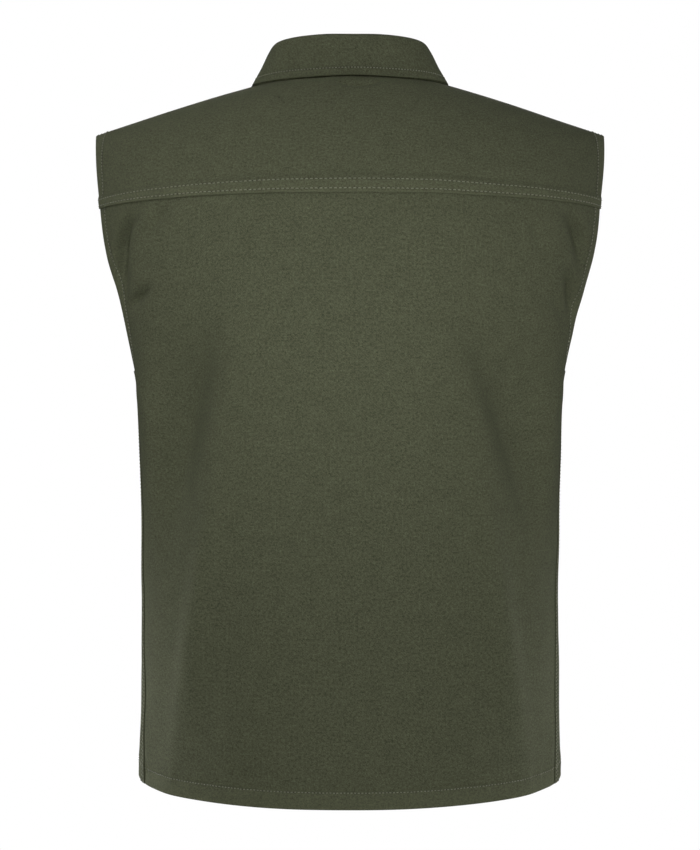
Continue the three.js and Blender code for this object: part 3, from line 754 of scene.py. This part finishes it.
def twill_material():
    """Cotton twill: diagonal ribs of yarn with slubs, faint cloudiness, and rims and doubled bands painted
    paler as a painted highlight.
    """
    material, tree, shader = new_material("twill")
    place = add_node(tree, "ShaderNodeAttribute", attribute_name="cloth").outputs["Vector"]
    across, up, painted_highlight = add_node(tree, "ShaderNodeSeparateXYZ", {0: place}).outputs
    uneven = noise_node(tree, place, WOBBLE.scale, WOBBLE.detail)
    wobble = math_node(tree, "MULTIPLY", uneven, WOBBLE.amount)
    diagonal = math_node(tree, "ADD", across, up)
    turn = math_node(tree, "MULTIPLY_ADD", diagonal, 2 * math.pi / TWILL_PITCH, wobble)
    rib = math_node(tree, "SINE", turn)
    yarn = math_node(tree, "SINE", math_node(tree, "MULTIPLY", across, 2 * math.pi / YARN_PITCH))
    weave = math_node(tree, "MULTIPLY_ADD", yarn, YARN_SHARE, rib)
    layers = [noise_node(tree, place, row.scale, row.detail) for row in (GRAIN, SLUB, CLOUD)]
    grain, slub = layers[:2]
    tone = math_node(tree, "MULTIPLY", weave, WEAVE_TONE)
    for layer, row in zip(layers, (GRAIN, SLUB, CLOUD)):
        level = math_node(tree, "MULTIPLY_ADD", layer, row.amount, tone)
        tone = math_node(tree, "SUBTRACT", level, row.amount / 2)
    tone = math_node(tree, "ADD", tone, MIDDLE_TONE)
    # Painted highlight: the rims and doubled bands are painted paler
    tone = math_node(tree, "ADD", tone, math_node(tree, "MULTIPLY", painted_highlight, PAINTED_HIGHLIGHT_TONE))
    shade_between(tree, shader, tone, TWILL_SHADES)
    height = math_node(tree, "MULTIPLY_ADD", weave, WEAVE_HEIGHT, grain)
    add_bump(tree, shader, height, TWILL_BUMP, TWILL_BUMP_DEPTH)
    rough = math_node(tree, "MULTIPLY_ADD", slub, TWILL_ROUGH_SPREAD, TWILL_ROUGH)
    tree.links.new(rough, shader.inputs["Roughness"])
    shader.inputs["Specular IOR Level"].default_value = TWILL_SPECULAR
    return material


def mottled_material(name, shades, noise, rough, rough_spread=0.0, bump=0.0):
    """Material of two close shades. noise is its scale, detail and distortion."""
    material, tree, shader = new_material(name)
    place = add_node(tree, "ShaderNodeTexCoord").outputs["Object"]
    mottle = noise_node(tree, place, *noise)
    shade_between(tree, shader, mottle, shades)
    shader.inputs["Roughness"].default_value = rough
    if rough_spread:
        varied = math_node(tree, "MULTIPLY_ADD", mottle, rough_spread, rough)
        tree.links.new(varied, shader.inputs["Roughness"])
    if bump:
        add_bump(tree, shader, mottle, bump, FUZZ_DEPTH)
    return material


twill = twill_material()
thread = mottled_material("thread", THREAD_SHADES, (1500, 2), rough=0.6, bump=0.4)
# Dark material for the painted shade at the needle holes
hole_shadow_material = mottled_material("needle_hole_shadow", HOLE_SHADOW_SHADES, (1500, 1), rough=1.0)
plastic = mottled_material("button_plastic", BUTTON_SHADES, (180, 3, 1.5), rough=0.35, rough_spread=0.2)

# Grids
EDGE_RUNS = stations((EDGE_ZONE, EDGE_CELL))
HEM_ROWS = stations((HEM_ZONE, HEM_CELL)) + HEM_RISE
BODY_ROWS = np.arange(HEM_RISE + HEM_ZONE, UNDERARM_RISE, BODY_CELL)[1:-1]
ARMHOLE_ROWS = UNDERARM_RISE * np.cos(np.radians(np.linspace(0, 90, ARMHOLE_STEPS + 1)))
LEVEL_ROWS = np.concatenate([HEM_ROWS, BODY_ROWS, ARMHOLE_ROWS])


def in_hem(rise):
    return rise < HEM_RISE + HEM_DEPTH


def back_angles(nominal, trim=0.0):
    """Angles of the back's columns on each row, from edge to edge, with both edges moved in by trim."""
    edge = back_edge(nominal)
    edge = (edge + trim / metres_per_degree(edge, nominal))[:, None]
    left = moved_in(edge, EDGE_RUNS, nominal[:, None], 1)
    tip = moved_in(TIP_ANGLE, EDGE_RUNS[-1], SHOULDER_RISE, 1)
    neck_share = (NECK_ANGLE - tip) / (90 - tip)
    shoulder = np.linspace(0, neck_share, SHOULDER_COLUMNS + 1)[1:]
    neck = np.linspace(neck_share, 1, NECK_COLUMNS + 1)[1:]
    inner = left[:, -1:]
    half = np.concatenate([left, inner + (90 - inner) * np.concatenate([shoulder, neck])], axis=1)
    return np.concatenate([half, 180 - half[:, -2::-1]], axis=1)


def back_edge_runs(columns):
    """Run of each of the back's columns from the nearer edge, beyond reach in the middle."""
    runs = np.full(columns, FAR_RUN)
    runs[:len(EDGE_RUNS)] = EDGE_RUNS
    runs[-len(EDGE_RUNS):] = EDGE_RUNS[::-1]
    return runs


def armhole_finish(runs, on_armhole):
    """Groove of an armhole's stitch row, and where the edge is turned in."""
    grooved = groove(runs - FACING_STITCH) * on_armhole
    turned = (runs <= FACING) & on_armhole
    return grooved, turned


def back_panel():
    tip = TIP_SEAM_RISE
    above = stations((tip - SEAM_ZONE, UPPER_CELL), (tip + SEAM_LAP, SEAM_CELL))[1:]
    nominal = np.concatenate([LEVEL_ROWS, above])
    angle = back_angles(nominal)
    seam = seam_rise(angle)
    level = nominal[:, None] + 0 * angle
    over = np.where(level <= tip, level * seam / tip, seam + level - tip)
    rise = np.where(level > 0, over, level)
    grooved, turned = armhole_finish(back_edge_runs(angle.shape[1]), level > UNDERARM_RISE)
    thick = np.where(turned | in_hem(level), 2 * CLOTH, CLOTH)
    return cloth_sheet("back_panel_cloth", angle, rise, grooved, thick, twill)


def top_rise(angle, neck_drop):
    """Top edge of a piece: along the shoulder seam, and along the neckline between its inner ends."""
    neck = rise_along(angle, lambda x: neck_z(x, neck_drop)) - NECK_TRIM
    on_shoulder = (np.abs(angle) <= NECK_ANGLE) | (np.abs(angle) >= 180 - NECK_ANGLE)
    return np.minimum(SHOULDER_RISE - SEAM_OPENING, np.where(on_shoulder, SHOULDER_RISE, neck))


def yoke_lift(up):
    return YOKE_LIFT * (1 - smooth(up, YOKE_LAP_END, YOKE_EASED))


def yoke_lap(up):
    return yoke_lift(up) + sum(groove(up - row) for row in YOKE_STITCHES)


def back_yoke():
    whole = SHOULDER_RISE - TIP_SEAM_RISE
    up = stations((YOKE_EASED, YOKE_CELL), (whole, UPPER_CELL))
    angle = back_angles(TIP_SEAM_RISE + up, yoke_lift(up))
    low = seam_rise(angle)
    level = up[:, None] + 0 * angle
    eased = low + YOKE_EASED
    share = (level - YOKE_EASED) / (whole - YOKE_EASED)
    upper = eased + (top_rise(angle, BACK_NECK_DROP) - eased) * share
    rise = np.where(level < YOKE_EASED, low + level, upper)
    grooved, turned = armhole_finish(back_edge_runs(angle.shape[1]), level > 0.0)
    on_shoulder = (angle < NECK_ANGLE) | (angle > 180 - NECK_ANGLE)
    grooved = grooved + groove(SHOULDER_RISE - rise - SHOULDER_STITCH) * on_shoulder
    folded_under = level < SEAM_LAP
    thick = np.where(folded_under | (turned & (level > YOKE_EASED)), 2 * CLOTH, CLOTH)
    return cloth_sheet("back_yoke_cloth", angle, rise, yoke_lap(level) + grooved, thick, twill)


def front_angles(nominal):
    """Angles of a front's columns on each row, from its outer edge to its centre edge."""
    level = nominal[:, None]
    edge = front_edge(nominal)[:, None]
    outer = moved_in(edge, EDGE_RUNS, level, -1)
    share = np.linspace(0, 1, SHOULDER_COLUMNS + 1)[1:]
    shoulder = outer[:, -1:] + (-NECK_ANGLE - outer[:, -1:]) * share
    neck_x = body_point(-NECK_ANGLE, level)[..., 0]
    ease_x = FRONT_LAP_HALF + GAP + EASE
    turns = np.radians(np.linspace(0, 90, NECK_COLUMNS + 1)[1:])
    neck = neck_x + (ease_x - neck_x) * (1 - np.cos(turns))
    centre = ease_x - stations((ease_x + FRONT_LAP_HALF, CENTRE_CELL))[1:]
    xs = np.concatenate([neck, np.tile(centre, (len(nominal), 1))], axis=1)
    return np.concatenate([outer, shoulder, -angle_at_x(xs, level)], axis=1)


def front_grid():
    top = np.linspace(0, 1, FRONT_TOP_ROWS + 1)[1:]
    nominal = np.concatenate([LEVEL_ROWS, top * SHOULDER_RISE])
    angle = front_angles(nominal)
    level = nominal[:, None] + 0 * angle
    rise = np.where(level > 0, level / SHOULDER_RISE * top_rise(angle, FRONT_NECK_DROP), level)
    runs = np.full(angle.shape[1], FAR_RUN)
    runs[:len(EDGE_RUNS)] = EDGE_RUNS
    return angle, rise, level, runs


def side_lap(level, runs):
    """Lift of a front where its side seam laps over the back, with the grooves of its stitch rows."""
    on_seam = 1 - smooth(level, UNDERARM_RISE + SEAM_LAP / 5, UNDERARM_RISE + SEAM_LAP)
    grooves = sum(groove(runs - row) for row in SEAM_STITCHES)
    crossing = GAP * smooth(level, UNDERARM_RISE - SEAM_LAP, UNDERARM_RISE)
    return on_seam * ((LAP_STEP + crossing) * (1 - smooth(runs, SEAM_LAP + GAP, EASE)) + grooves)


def front_lap(level, runs, x, side):
    """Lift of a front. The left one also laps over the right one at the centre."""
    lap = side_lap(level, runs)
    if side < 0:
        return lap
    return lap + LAP_STEP * (1 - smooth(x, FRONT_LAP_HALF + GAP, FRONT_LAP_HALF + GAP + EASE))


def front(side):
    angle, rise, level, runs = front_grid()
    lap = front_lap(level, runs, body_point(angle, rise)[..., 0], side)
    grooved, turned = armhole_finish(runs, level > UNDERARM_RISE + SEAM_LAP)
    thick = np.where(turned | (in_hem(level) & (lap < GAP / 4)), 2 * CLOTH, CLOTH)
    angle, rise, lap, thick = (grid[:, ::-1] for grid in (angle, rise, lap + grooved, thick))
    if side < 0:
        return cloth_sheet("front_right_cloth", angle, rise, lap, thick, twill, side)
    return cloth_sheet("front_left_cloth", angle, rise, lap, thick, twill, side, in_buttonhole(angle, rise))


def in_buttonhole(angle, rise):
    """Cells of a grid that lie inside a buttonhole."""
    point = body_point(angle, rise)
    middle = (point[:-1, :-1] + point[1:, 1:]) / 2
    x, z = middle[..., 0], middle[..., 2]
    length = np.abs(z[..., None] - BUTTON_HEIGHTS).min(axis=-1)
    return (np.abs(x) < BUTTONHOLE_HALF) & (length < BUTTONHOLE_LENGTH / 2)


def placket_top(x):
    return rise_at_z(x, neck_z(x, FRONT_NECK_DROP)) - NECK_TRIM


def placket_rows(x):
    """Rises of the placket's rows at each of its columns."""
    top = np.linspace(0, 1, FRONT_TOP_ROWS + 1)[1:, None] * placket_top(x)
    return np.concatenate([LEVEL_ROWS[:, None] + 0 * x, top])


def placket():
    x = stations((2 * PLACKET_HALF, PLACKET_CELL)) - PLACKET_HALF
    rise = placket_rows(x)
    angle = -angle_at_x(x, rise)
    lap = 2 * LAP_STEP + groove(PLACKET_HALF - np.abs(x) - PLACKET_STITCH) + 0 * rise
    thick = np.full(rise.shape, CLOTH)
    return cloth_sheet("placket_cloth", angle, rise, lap, thick, twill, cut=in_buttonhole(angle, rise))


# Collar
def over_body(turn, x, z, clear):
    """Points above the body form, on the back or the front as the turn round the neck says."""
    rise = rise_at_z(x, z)
    angle = angle_at_x(x, rise) * np.where(np.abs(turn) <= 90, 1, -1)
    return body_point(angle, rise) + body_normal(angle, rise) * clear


def neck_seam(turn, clear=0.0):
    x = NECK_HALF * np.sin(np.radians(turn))
    drop = np.where(np.abs(turn) <= 90, BACK_NECK_DROP, FRONT_NECK_DROP)
    return over_body(turn, x, neck_z(x, drop), clear)


def even_turns(count):
    """Turns at which the neck seam is cut into even lengths."""
    turns = np.linspace(-COLLAR_END_TURN, COLLAR_END_TURN, 8 * COLLAR_END_TURN + 1)
    run = run_along(neck_seam(turns))
    return np.interp(np.linspace(0, run[-1], count), run, turns)


def catmull_rom(knots, steps):
    """Smooth curves through rows of knots, by centripetal Catmull-Rom pieces."""
    first = 2 * knots[:, :1] - knots[:, 1:2]
    last = 2 * knots[:, -1:] - knots[:, -2:-1]
    p = np.concatenate([first, knots, last], axis=1)
    gap = np.sqrt(np.linalg.norm(np.diff(p, axis=1), axis=-1, keepdims=True))
    d0, d1, d2 = gap[:, :-2], gap[:, 1:-1], gap[:, 2:]
    p0, p1, p2, p3 = p[:, :-3], p[:, 1:-2], p[:, 2:-1], p[:, 3:]
    start = ((p1 - p0) / d0 - (p2 - p0) / (d0 + d1) + (p2 - p1) / d1) * d1
    end = ((p2 - p1) / d1 - (p3 - p1) / (d1 + d2) + (p3 - p2) / d2) * d1
    t = np.linspace(0, 1, steps + 1)[:-1][:, None]
    curve = cubic(t, *(value[:, :, None] for value in (p1, p2, start, end)))
    return np.concatenate([curve.reshape(len(knots), -1, 3), knots[:, -1:]], axis=1)


COLLAR_EDGE_RUNS = stations((COLLAR_EDGE_ZONE, COLLAR_EDGE_CELL))


def collar_sections(turn):
    """Middle line of the collar at each turn, from its outer edge up over the roll and down to the foot."""
    def value(column, at):
        return sample(COLLAR, "turn", column, at)

    def roll_at(at):
        return np.stack([value(column, at) for column in ("roll_x", "roll_y", "roll_z")], axis=-1)

    seam = neck_seam(turn)
    seam_normal = neck_seam(turn, 1.0) - seam
    roll = roll_at(turn)
    edge_x, edge_z = value("edge_x", turn), value("edge_z", turn)
    edge_foot = over_body(turn, edge_x, edge_z, 0.0)
    edge_normal = over_body(turn, edge_x, edge_z, 1.0) - edge_foot
    edge = edge_foot + edge_normal * (COLLAR_CLEAR + relief(edge_foot))[:, None]
    along = unit(roll_at(turn + 1) - roll_at(turn - 1))
    out = unit(np.stack([-along[:, 1], along[:, 0], np.zeros(len(turn))], axis=-1))
    up = unit(np.cross(out, along))
    tucked = seam_normal * (CLOTH + GAP + COLLAR_THICK / 2)
    away = unit(np.cross(seam_normal, neck_seam(turn + 0.5) - neck_seam(turn - 0.5)))
    seam = seam + seam_normal * relief(seam)[:, None] - tucked
    foot = seam + away * FOOT_DROP
    below = roll - up * COLLAR_ROLL
    inside, outside = below - out * COLLAR_ROLL, below + out * COLLAR_ROLL
    crown = roll + (edge - roll) * CROWN_SHARE + out * LEAF_CROWN
    stand = (seam + inside) / 2
    knots = np.stack([foot, seam, stand, inside, roll, outside, crown, edge], axis=1)
    return catmull_rom(knots, COLLAR_STEPS)[:, ::-1]


def collar_grid(turn):
    """Collar's middle face at each turn and run from its outer edge, with outward normals."""
    curve = collar_sections(turn)
    rows = []
    for line, run in zip(curve, run_along(curve, 1)):
        rest = np.linspace(COLLAR_EDGE_RUNS[-1], run[-1], COLLAR_COLUMNS + 1)[1:]
        rows.append(point_at(np.concatenate([COLLAR_EDGE_RUNS, rest]), run, line))
    grid = np.array(rows)
    along = np.gradient(grid, axis=0)
    down = np.gradient(grid, axis=1)
    return grid, unit(np.cross(down, along))


def collar():
    grid, normal = collar_grid(even_turns(COLLAR_STATIONS))
    runs = np.concatenate([COLLAR_EDGE_RUNS, np.full(COLLAR_COLUMNS, FAR_RUN)])
    offset = COLLAR_THICK / 2 + groove(runs - COLLAR_STITCH)
    outer = grid + normal * offset[:, None]
    inner = grid - normal * COLLAR_THICK / 2
    return sheet_object("collar_cloth", outer, inner, twill, TWO_LAYER_RIM)


# Stitch rows
def dense(low, high, count=ROW_POINTS):
    return np.linspace(low, high, count)


def yoke_rows():
    paths = []
    for row in YOKE_STITCHES:
        edge = float(back_edge(np.array(TIP_SEAM_RISE + row)))
        angle = dense(edge, 180 - edge)
        paths.append(cloth_face(angle, seam_rise(angle) + row, yoke_lap(row)))
    return paths


def hem_rows():
    rise = HEM_RISE + HEM_STITCH
    edge = float(front_edge(np.array(rise)))
    back = dense(edge, 180 - edge)
    left = dense(edge, -90)
    paths = [cloth_face(back, rise, 0.0)]
    for side in (1, -1):
        x = body_point(left, rise)[..., 0]
        runs = (edge - left) * metres_per_degree(edge - EDGE_TURN, rise)
        lap = front_lap(rise, runs, x, side)
        shown = x > PLACKET_HALF
        paths.append(cloth_face(left[shown], rise, lap[shown], side))
    return paths


def armhole_rows():
    paths = []
    low, high = UNDERARM_RISE + PANEL_ROW_START, TIP_SEAM_RISE
    panel = low + (high - low) * (1 - np.cos(np.radians(dense(0, 90))))
    yoke = dense(TIP_SEAM_RISE + SEAM_LAP + GAP, SHOULDER_RISE - SEAM_OPENING)
    low, high = UNDERARM_RISE + FRONT_ROW_START, SHOULDER_RISE - ROW_CLEAR
    fronts = low + (high - low) * dense(0, 1) ** FRONT_ROW_CROWDING
    for side in (1, -1):
        for rise, lap in ((panel, 0.0), (yoke, yoke_lap(yoke - TIP_SEAM_RISE))):
            angle = moved_in(back_edge(rise), FACING_STITCH, rise, 1)
            paths.append(cloth_face(angle, rise, lap, side))
        angle = moved_in(front_edge(fronts), FACING_STITCH, fronts, -1)
        paths.append(cloth_face(angle, fronts, 0.0, side))
    return paths


def side_seam_rows():
    rise = dense(HEM_RISE + ROW_CLEAR, UNDERARM_RISE)
    paths = []
    for side in (1, -1):
        for row in SEAM_STITCHES:
            angle = moved_in(front_edge(rise), row, rise, -1)
            paths.append(cloth_face(angle, rise, side_lap(rise, row), side))
    return paths


def shoulder_rows():
    angle = dense(TIP_ANGLE, NECK_ANGLE)
    rise = top_rise(angle, BACK_NECK_DROP) - SHOULDER_STITCH
    return [cloth_face(angle, rise, 0.0, side) for side in (1, -1)]


def placket_stitch_rows():
    paths = []
    for x in (PLACKET_STITCH - PLACKET_HALF, PLACKET_HALF - PLACKET_STITCH):
        rise = dense(HEM_RISE + ROW_CLEAR, float(placket_top(np.array(x))) - ROW_CLEAR)
        paths.append(cloth_face(-angle_at_x(x, rise), rise, 2 * LAP_STEP))
    return paths


def collar_rows():
    end = COLLAR_END_TURN - COLLAR_ROW_CLEAR
    grid, normal = collar_grid(dense(-end, end, COLLAR_ROW_POINTS))
    row = int(np.argmin(np.abs(COLLAR_EDGE_RUNS - COLLAR_STITCH)))
    offset = COLLAR_THICK / 2 - GROOVE_DEPTH
    return [(grid[:, row] + normal[:, row] * offset, normal[:, row])]


# Buttons
def button_frame(z, lap):
    """Place of a button: Y points out of the placket and Z runs up it."""
    rise = rise_at_z(0.0, z)
    point = body_point(-90.0, rise)
    out = body_normal(-90.0, rise)
    up = unit(np.array([0, 0, 1]) - out * out[2])
    matrix = np.eye(4)
    matrix[:3, 0], matrix[:3, 1], matrix[:3, 2] = np.cross(out, up), out, up
    matrix[:3, 3] = point + out * (lap + relief(point))
    return Matrix(matrix.tolist())


def lathe(profile, sides, centre=(0.0, 0.0)):
    """Points and faces of a closed solid turned about Y from (radius, height) steps."""
    turn = np.arange(sides) * 2 * np.pi / sides
    radius, height = (np.array(column)[:, None] for column in zip(*profile))
    x, z = centre[0] + radius * np.cos(turn), centre[1] - radius * np.sin(turn)
    points = np.stack([x, height + 0 * x, z], axis=-1).reshape(-1, 3)
    index = np.arange(len(points)).reshape(len(profile), sides)
    walls = band(index[:-1], index[1:])
    return points, walls.tolist() + [index[0, ::-1].tolist(), index[-1].tolist()]


def button_mesh():
    """Dished button with a rounded rim and four drilled holes."""
    rim, dish, top = BUTTON_RADIUS - BUTTON_RIM, BUTTON_DISH, BUTTON_THICK
    profile = [
        (BUTTON_RADIUS - dish, 0),
        (BUTTON_RADIUS - dish / 4, dish / 4),
        (BUTTON_RADIUS, dish),
        (BUTTON_RADIUS, top - dish),
        (BUTTON_RADIUS - dish / 4, top - dish / 4),
        (BUTTON_RADIUS - dish, top),
        (rim, top),
        (rim - dish / 4, top - dish / 3),
        (rim - dish, top - dish),
        (rim - 3 * dish, top - dish * 1.2),
    ]
    drill = [(DRILL_RADIUS, -top), (DRILL_RADIUS, 2 * top)]
    sides = (-DRILL_OUT, DRILL_OUT)
    drills = [lathe(drill, DRILL_SIDES, (x, z)) for x in sides for z in sides]
    body = joined("button", [lathe(profile, BUTTON_SIDES)], plastic)
    bits = joined("drills", drills, plastic)
    cut = body.modifiers.new("holes", "BOOLEAN")
    cut.operation = "DIFFERENCE"
    cut.solver = "EXACT"
    cut.object = bits
    mesh = bpy.data.meshes.new_from_object(body.evaluated_get(bpy.context.evaluated_depsgraph_get()))
    mesh.set_sharp_from_angle(angle=math.radians(BUTTON_SHARP))
    bpy.data.objects.remove(body)
    bpy.data.objects.remove(bits)
    return mesh


def button_threads(matrix):
    """Threads of one button: a cross over its holes and a shank down to the cloth under the placket."""
    floor = BUTTON_THICK - BUTTON_DISH
    foot = -2 * LAP_STEP - BUTTON_LIFT
    d, s = DRILL_OUT, SHANK_OUT
    start = [(-d, floor, -d), (-d, floor, d)] + [(x, foot, z) for x in (-s, s) for z in (-s, s)]
    end = [(d, floor, d), (d, floor, -d)] + [(x, 0, z) for x in (-s, s) for z in (-s, s)]
    out = [(0, 1, 0)] * 2 + [(1, 0, 0)] * 4
    place, turn = np.array(matrix)[:3, 3], np.array(matrix)[:3, :3].T
    start, end = (np.array(ends) @ turn + place for ends in (start, end))
    return Threads(start, end, np.array(out) @ turn, SHANK_OUT)


def buttonhole_edges(z):
    """Close threads across both long edges and both ends of one buttonhole."""
    half = BUTTONHOLE_LENGTH / 2
    reach = EDGE_THREAD_REACH
    up = np.arange(-half, half, EDGE_THREAD_PITCH)
    across = np.arange(-BUTTONHOLE_HALF - reach, BUTTONHOLE_HALF + reach, EDGE_THREAD_PITCH)
    near = [(side * BUTTONHOLE_HALF, h) for side in (-1, 1) for h in up]
    far = [(side * (BUTTONHOLE_HALF + reach), h) for side in (-1, 1) for h in up]
    near += [(x, side * half) for side in (-1, 1) for x in across]
    far += [(x, side * (half + reach)) for side in (-1, 1) for x in across]
    ends = []
    for places in (near, far):
        x, height = np.array(places).T
        rise = rise_at_z(x, z + height)
        ends.append(cloth_face(-angle_at_x(x, rise), rise, 2 * LAP_STEP))
    return Threads(ends[0][0], ends[1][0], ends[0][1], EDGE_THREAD)


# Assembly
panels = {
    "back_panel": back_panel(),
    "back_yoke": back_yoke(),
    "front_left": front(1),
    "front_right": front(-1),
    "placket": placket(),
    "collar": collar(),
}
for node, piece in panels.items():
    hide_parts(node)
    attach(piece, "root")

Seam = namedtuple("Seam", "panel paths pitch")
seams = {
    "yoke": Seam("back_yoke", yoke_rows(), YOKE_PITCH),
    "hem": Seam("back_panel", hem_rows(), HEM_PITCH),
    "armhole": Seam("back_panel", armhole_rows(), SEAM_PITCH),
    "side_seam": Seam("front_left", side_seam_rows(), SEAM_PITCH),
    "shoulder": Seam("back_yoke", shoulder_rows(), SEAM_PITCH),
    "placket": Seam("placket", placket_stitch_rows(), SEAM_PITCH),
    "collar": Seam("collar", collar_rows(), COLLAR_PITCH),
}
sewn = {node: [] for node in panels}
for name, seam in seams.items():
    rows = [stitch_row(point, normal, seam.pitch) for point, normal in seam.paths]
    sewn[seam.panel].append(joined(f"{name}_stitches", map(thread_tubes, rows), thread))
    # Dark discs of painted shade at the needle holes of each row
    sewn[seam.panel].append(joined(f"{name}_needle_hole_shadows", map(hole_shadow_discs, rows), hole_shadow_material))
worked = [thread_tubes(buttonhole_edges(z)) for z in BUTTON_HEIGHTS]
sewn["placket"].append(joined("buttonhole_threads", worked, thread))

button_shape = button_mesh()
for number, z in enumerate(BUTTON_HEIGHTS, 1):
    place = button_frame(z, 2 * LAP_STEP + BUTTON_LIFT)
    shape = button_shape.copy()
    shape.transform(place)
    button = bpy.data.objects.new(f"button_{number}_turned", shape)
    bpy.context.scene.collection.objects.link(button)
    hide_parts(f"button_{number}")
    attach(button, "root")
    shank = thread_tubes(button_threads(place))
    sewn["front_right"].append(joined(f"button_{number}_threads", [shank], thread))
for piece in sum(sewn.values(), []):
    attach(piece, "root")


# Stage
def look_at(item, place, target):
    item.location = place
    item.rotation_euler = (Vector(target) - Vector(place)).to_track_quat("-Z", "Y").to_euler()


def make_stage():
    scene = bpy.context.scene
    scene.view_settings.view_transform = "Standard"
    camera = bpy.data.cameras.new("camera")
    camera.lens = CAMERA_LENS
    viewer = bpy.data.objects.new("camera", camera)
    look_at(viewer, CAMERA_PLACE, (CAMERA_PLACE[0], 0, CAMERA_PLACE[2]))
    scene.collection.objects.link(viewer)
    scene.camera = viewer
    for row in LIGHTS:
        light = bpy.data.lights.new(row.name, "AREA")
        light.shape = "SQUARE"
        light.size = row.size
        light.spread = math.radians(row.spread)
        light.energy = row.power
        lamp = bpy.data.objects.new(row.name, light)
        look_at(lamp, row.place, row.target)
        scene.collection.objects.link(lamp)
    world = bpy.data.worlds.new("studio")
    world.use_nodes = True
    sky = world.node_tree.nodes["Background"]
    sky.inputs["Color"].default_value = (1, 1, 1, 1)
    tree = world.node_tree
    seen = add_node(tree, "ShaderNodeLightPath").outputs["Is Camera Ray"]
    strength = add_node(tree, "ShaderNodeMapRange", {"Value": seen, "To Min": AMBIENT, "To Max": 1.0})
    tree.links.new(strength.outputs[0], sky.inputs["Strength"])
    scene.world = world
    bpy.ops.mesh.primitive_circle_add(
        vertices=FLOOR_SIDES, radius=FLOOR_RADIUS, fill_type="NGON", location=(0, 0, FLOOR_Z))
    floor = bpy.context.object
    floor.name = "floor"
    floor.data.materials.append(mottled_material("pale_floor", FLOOR_SHADES, (6, 3), rough=0.9))


make_stage()
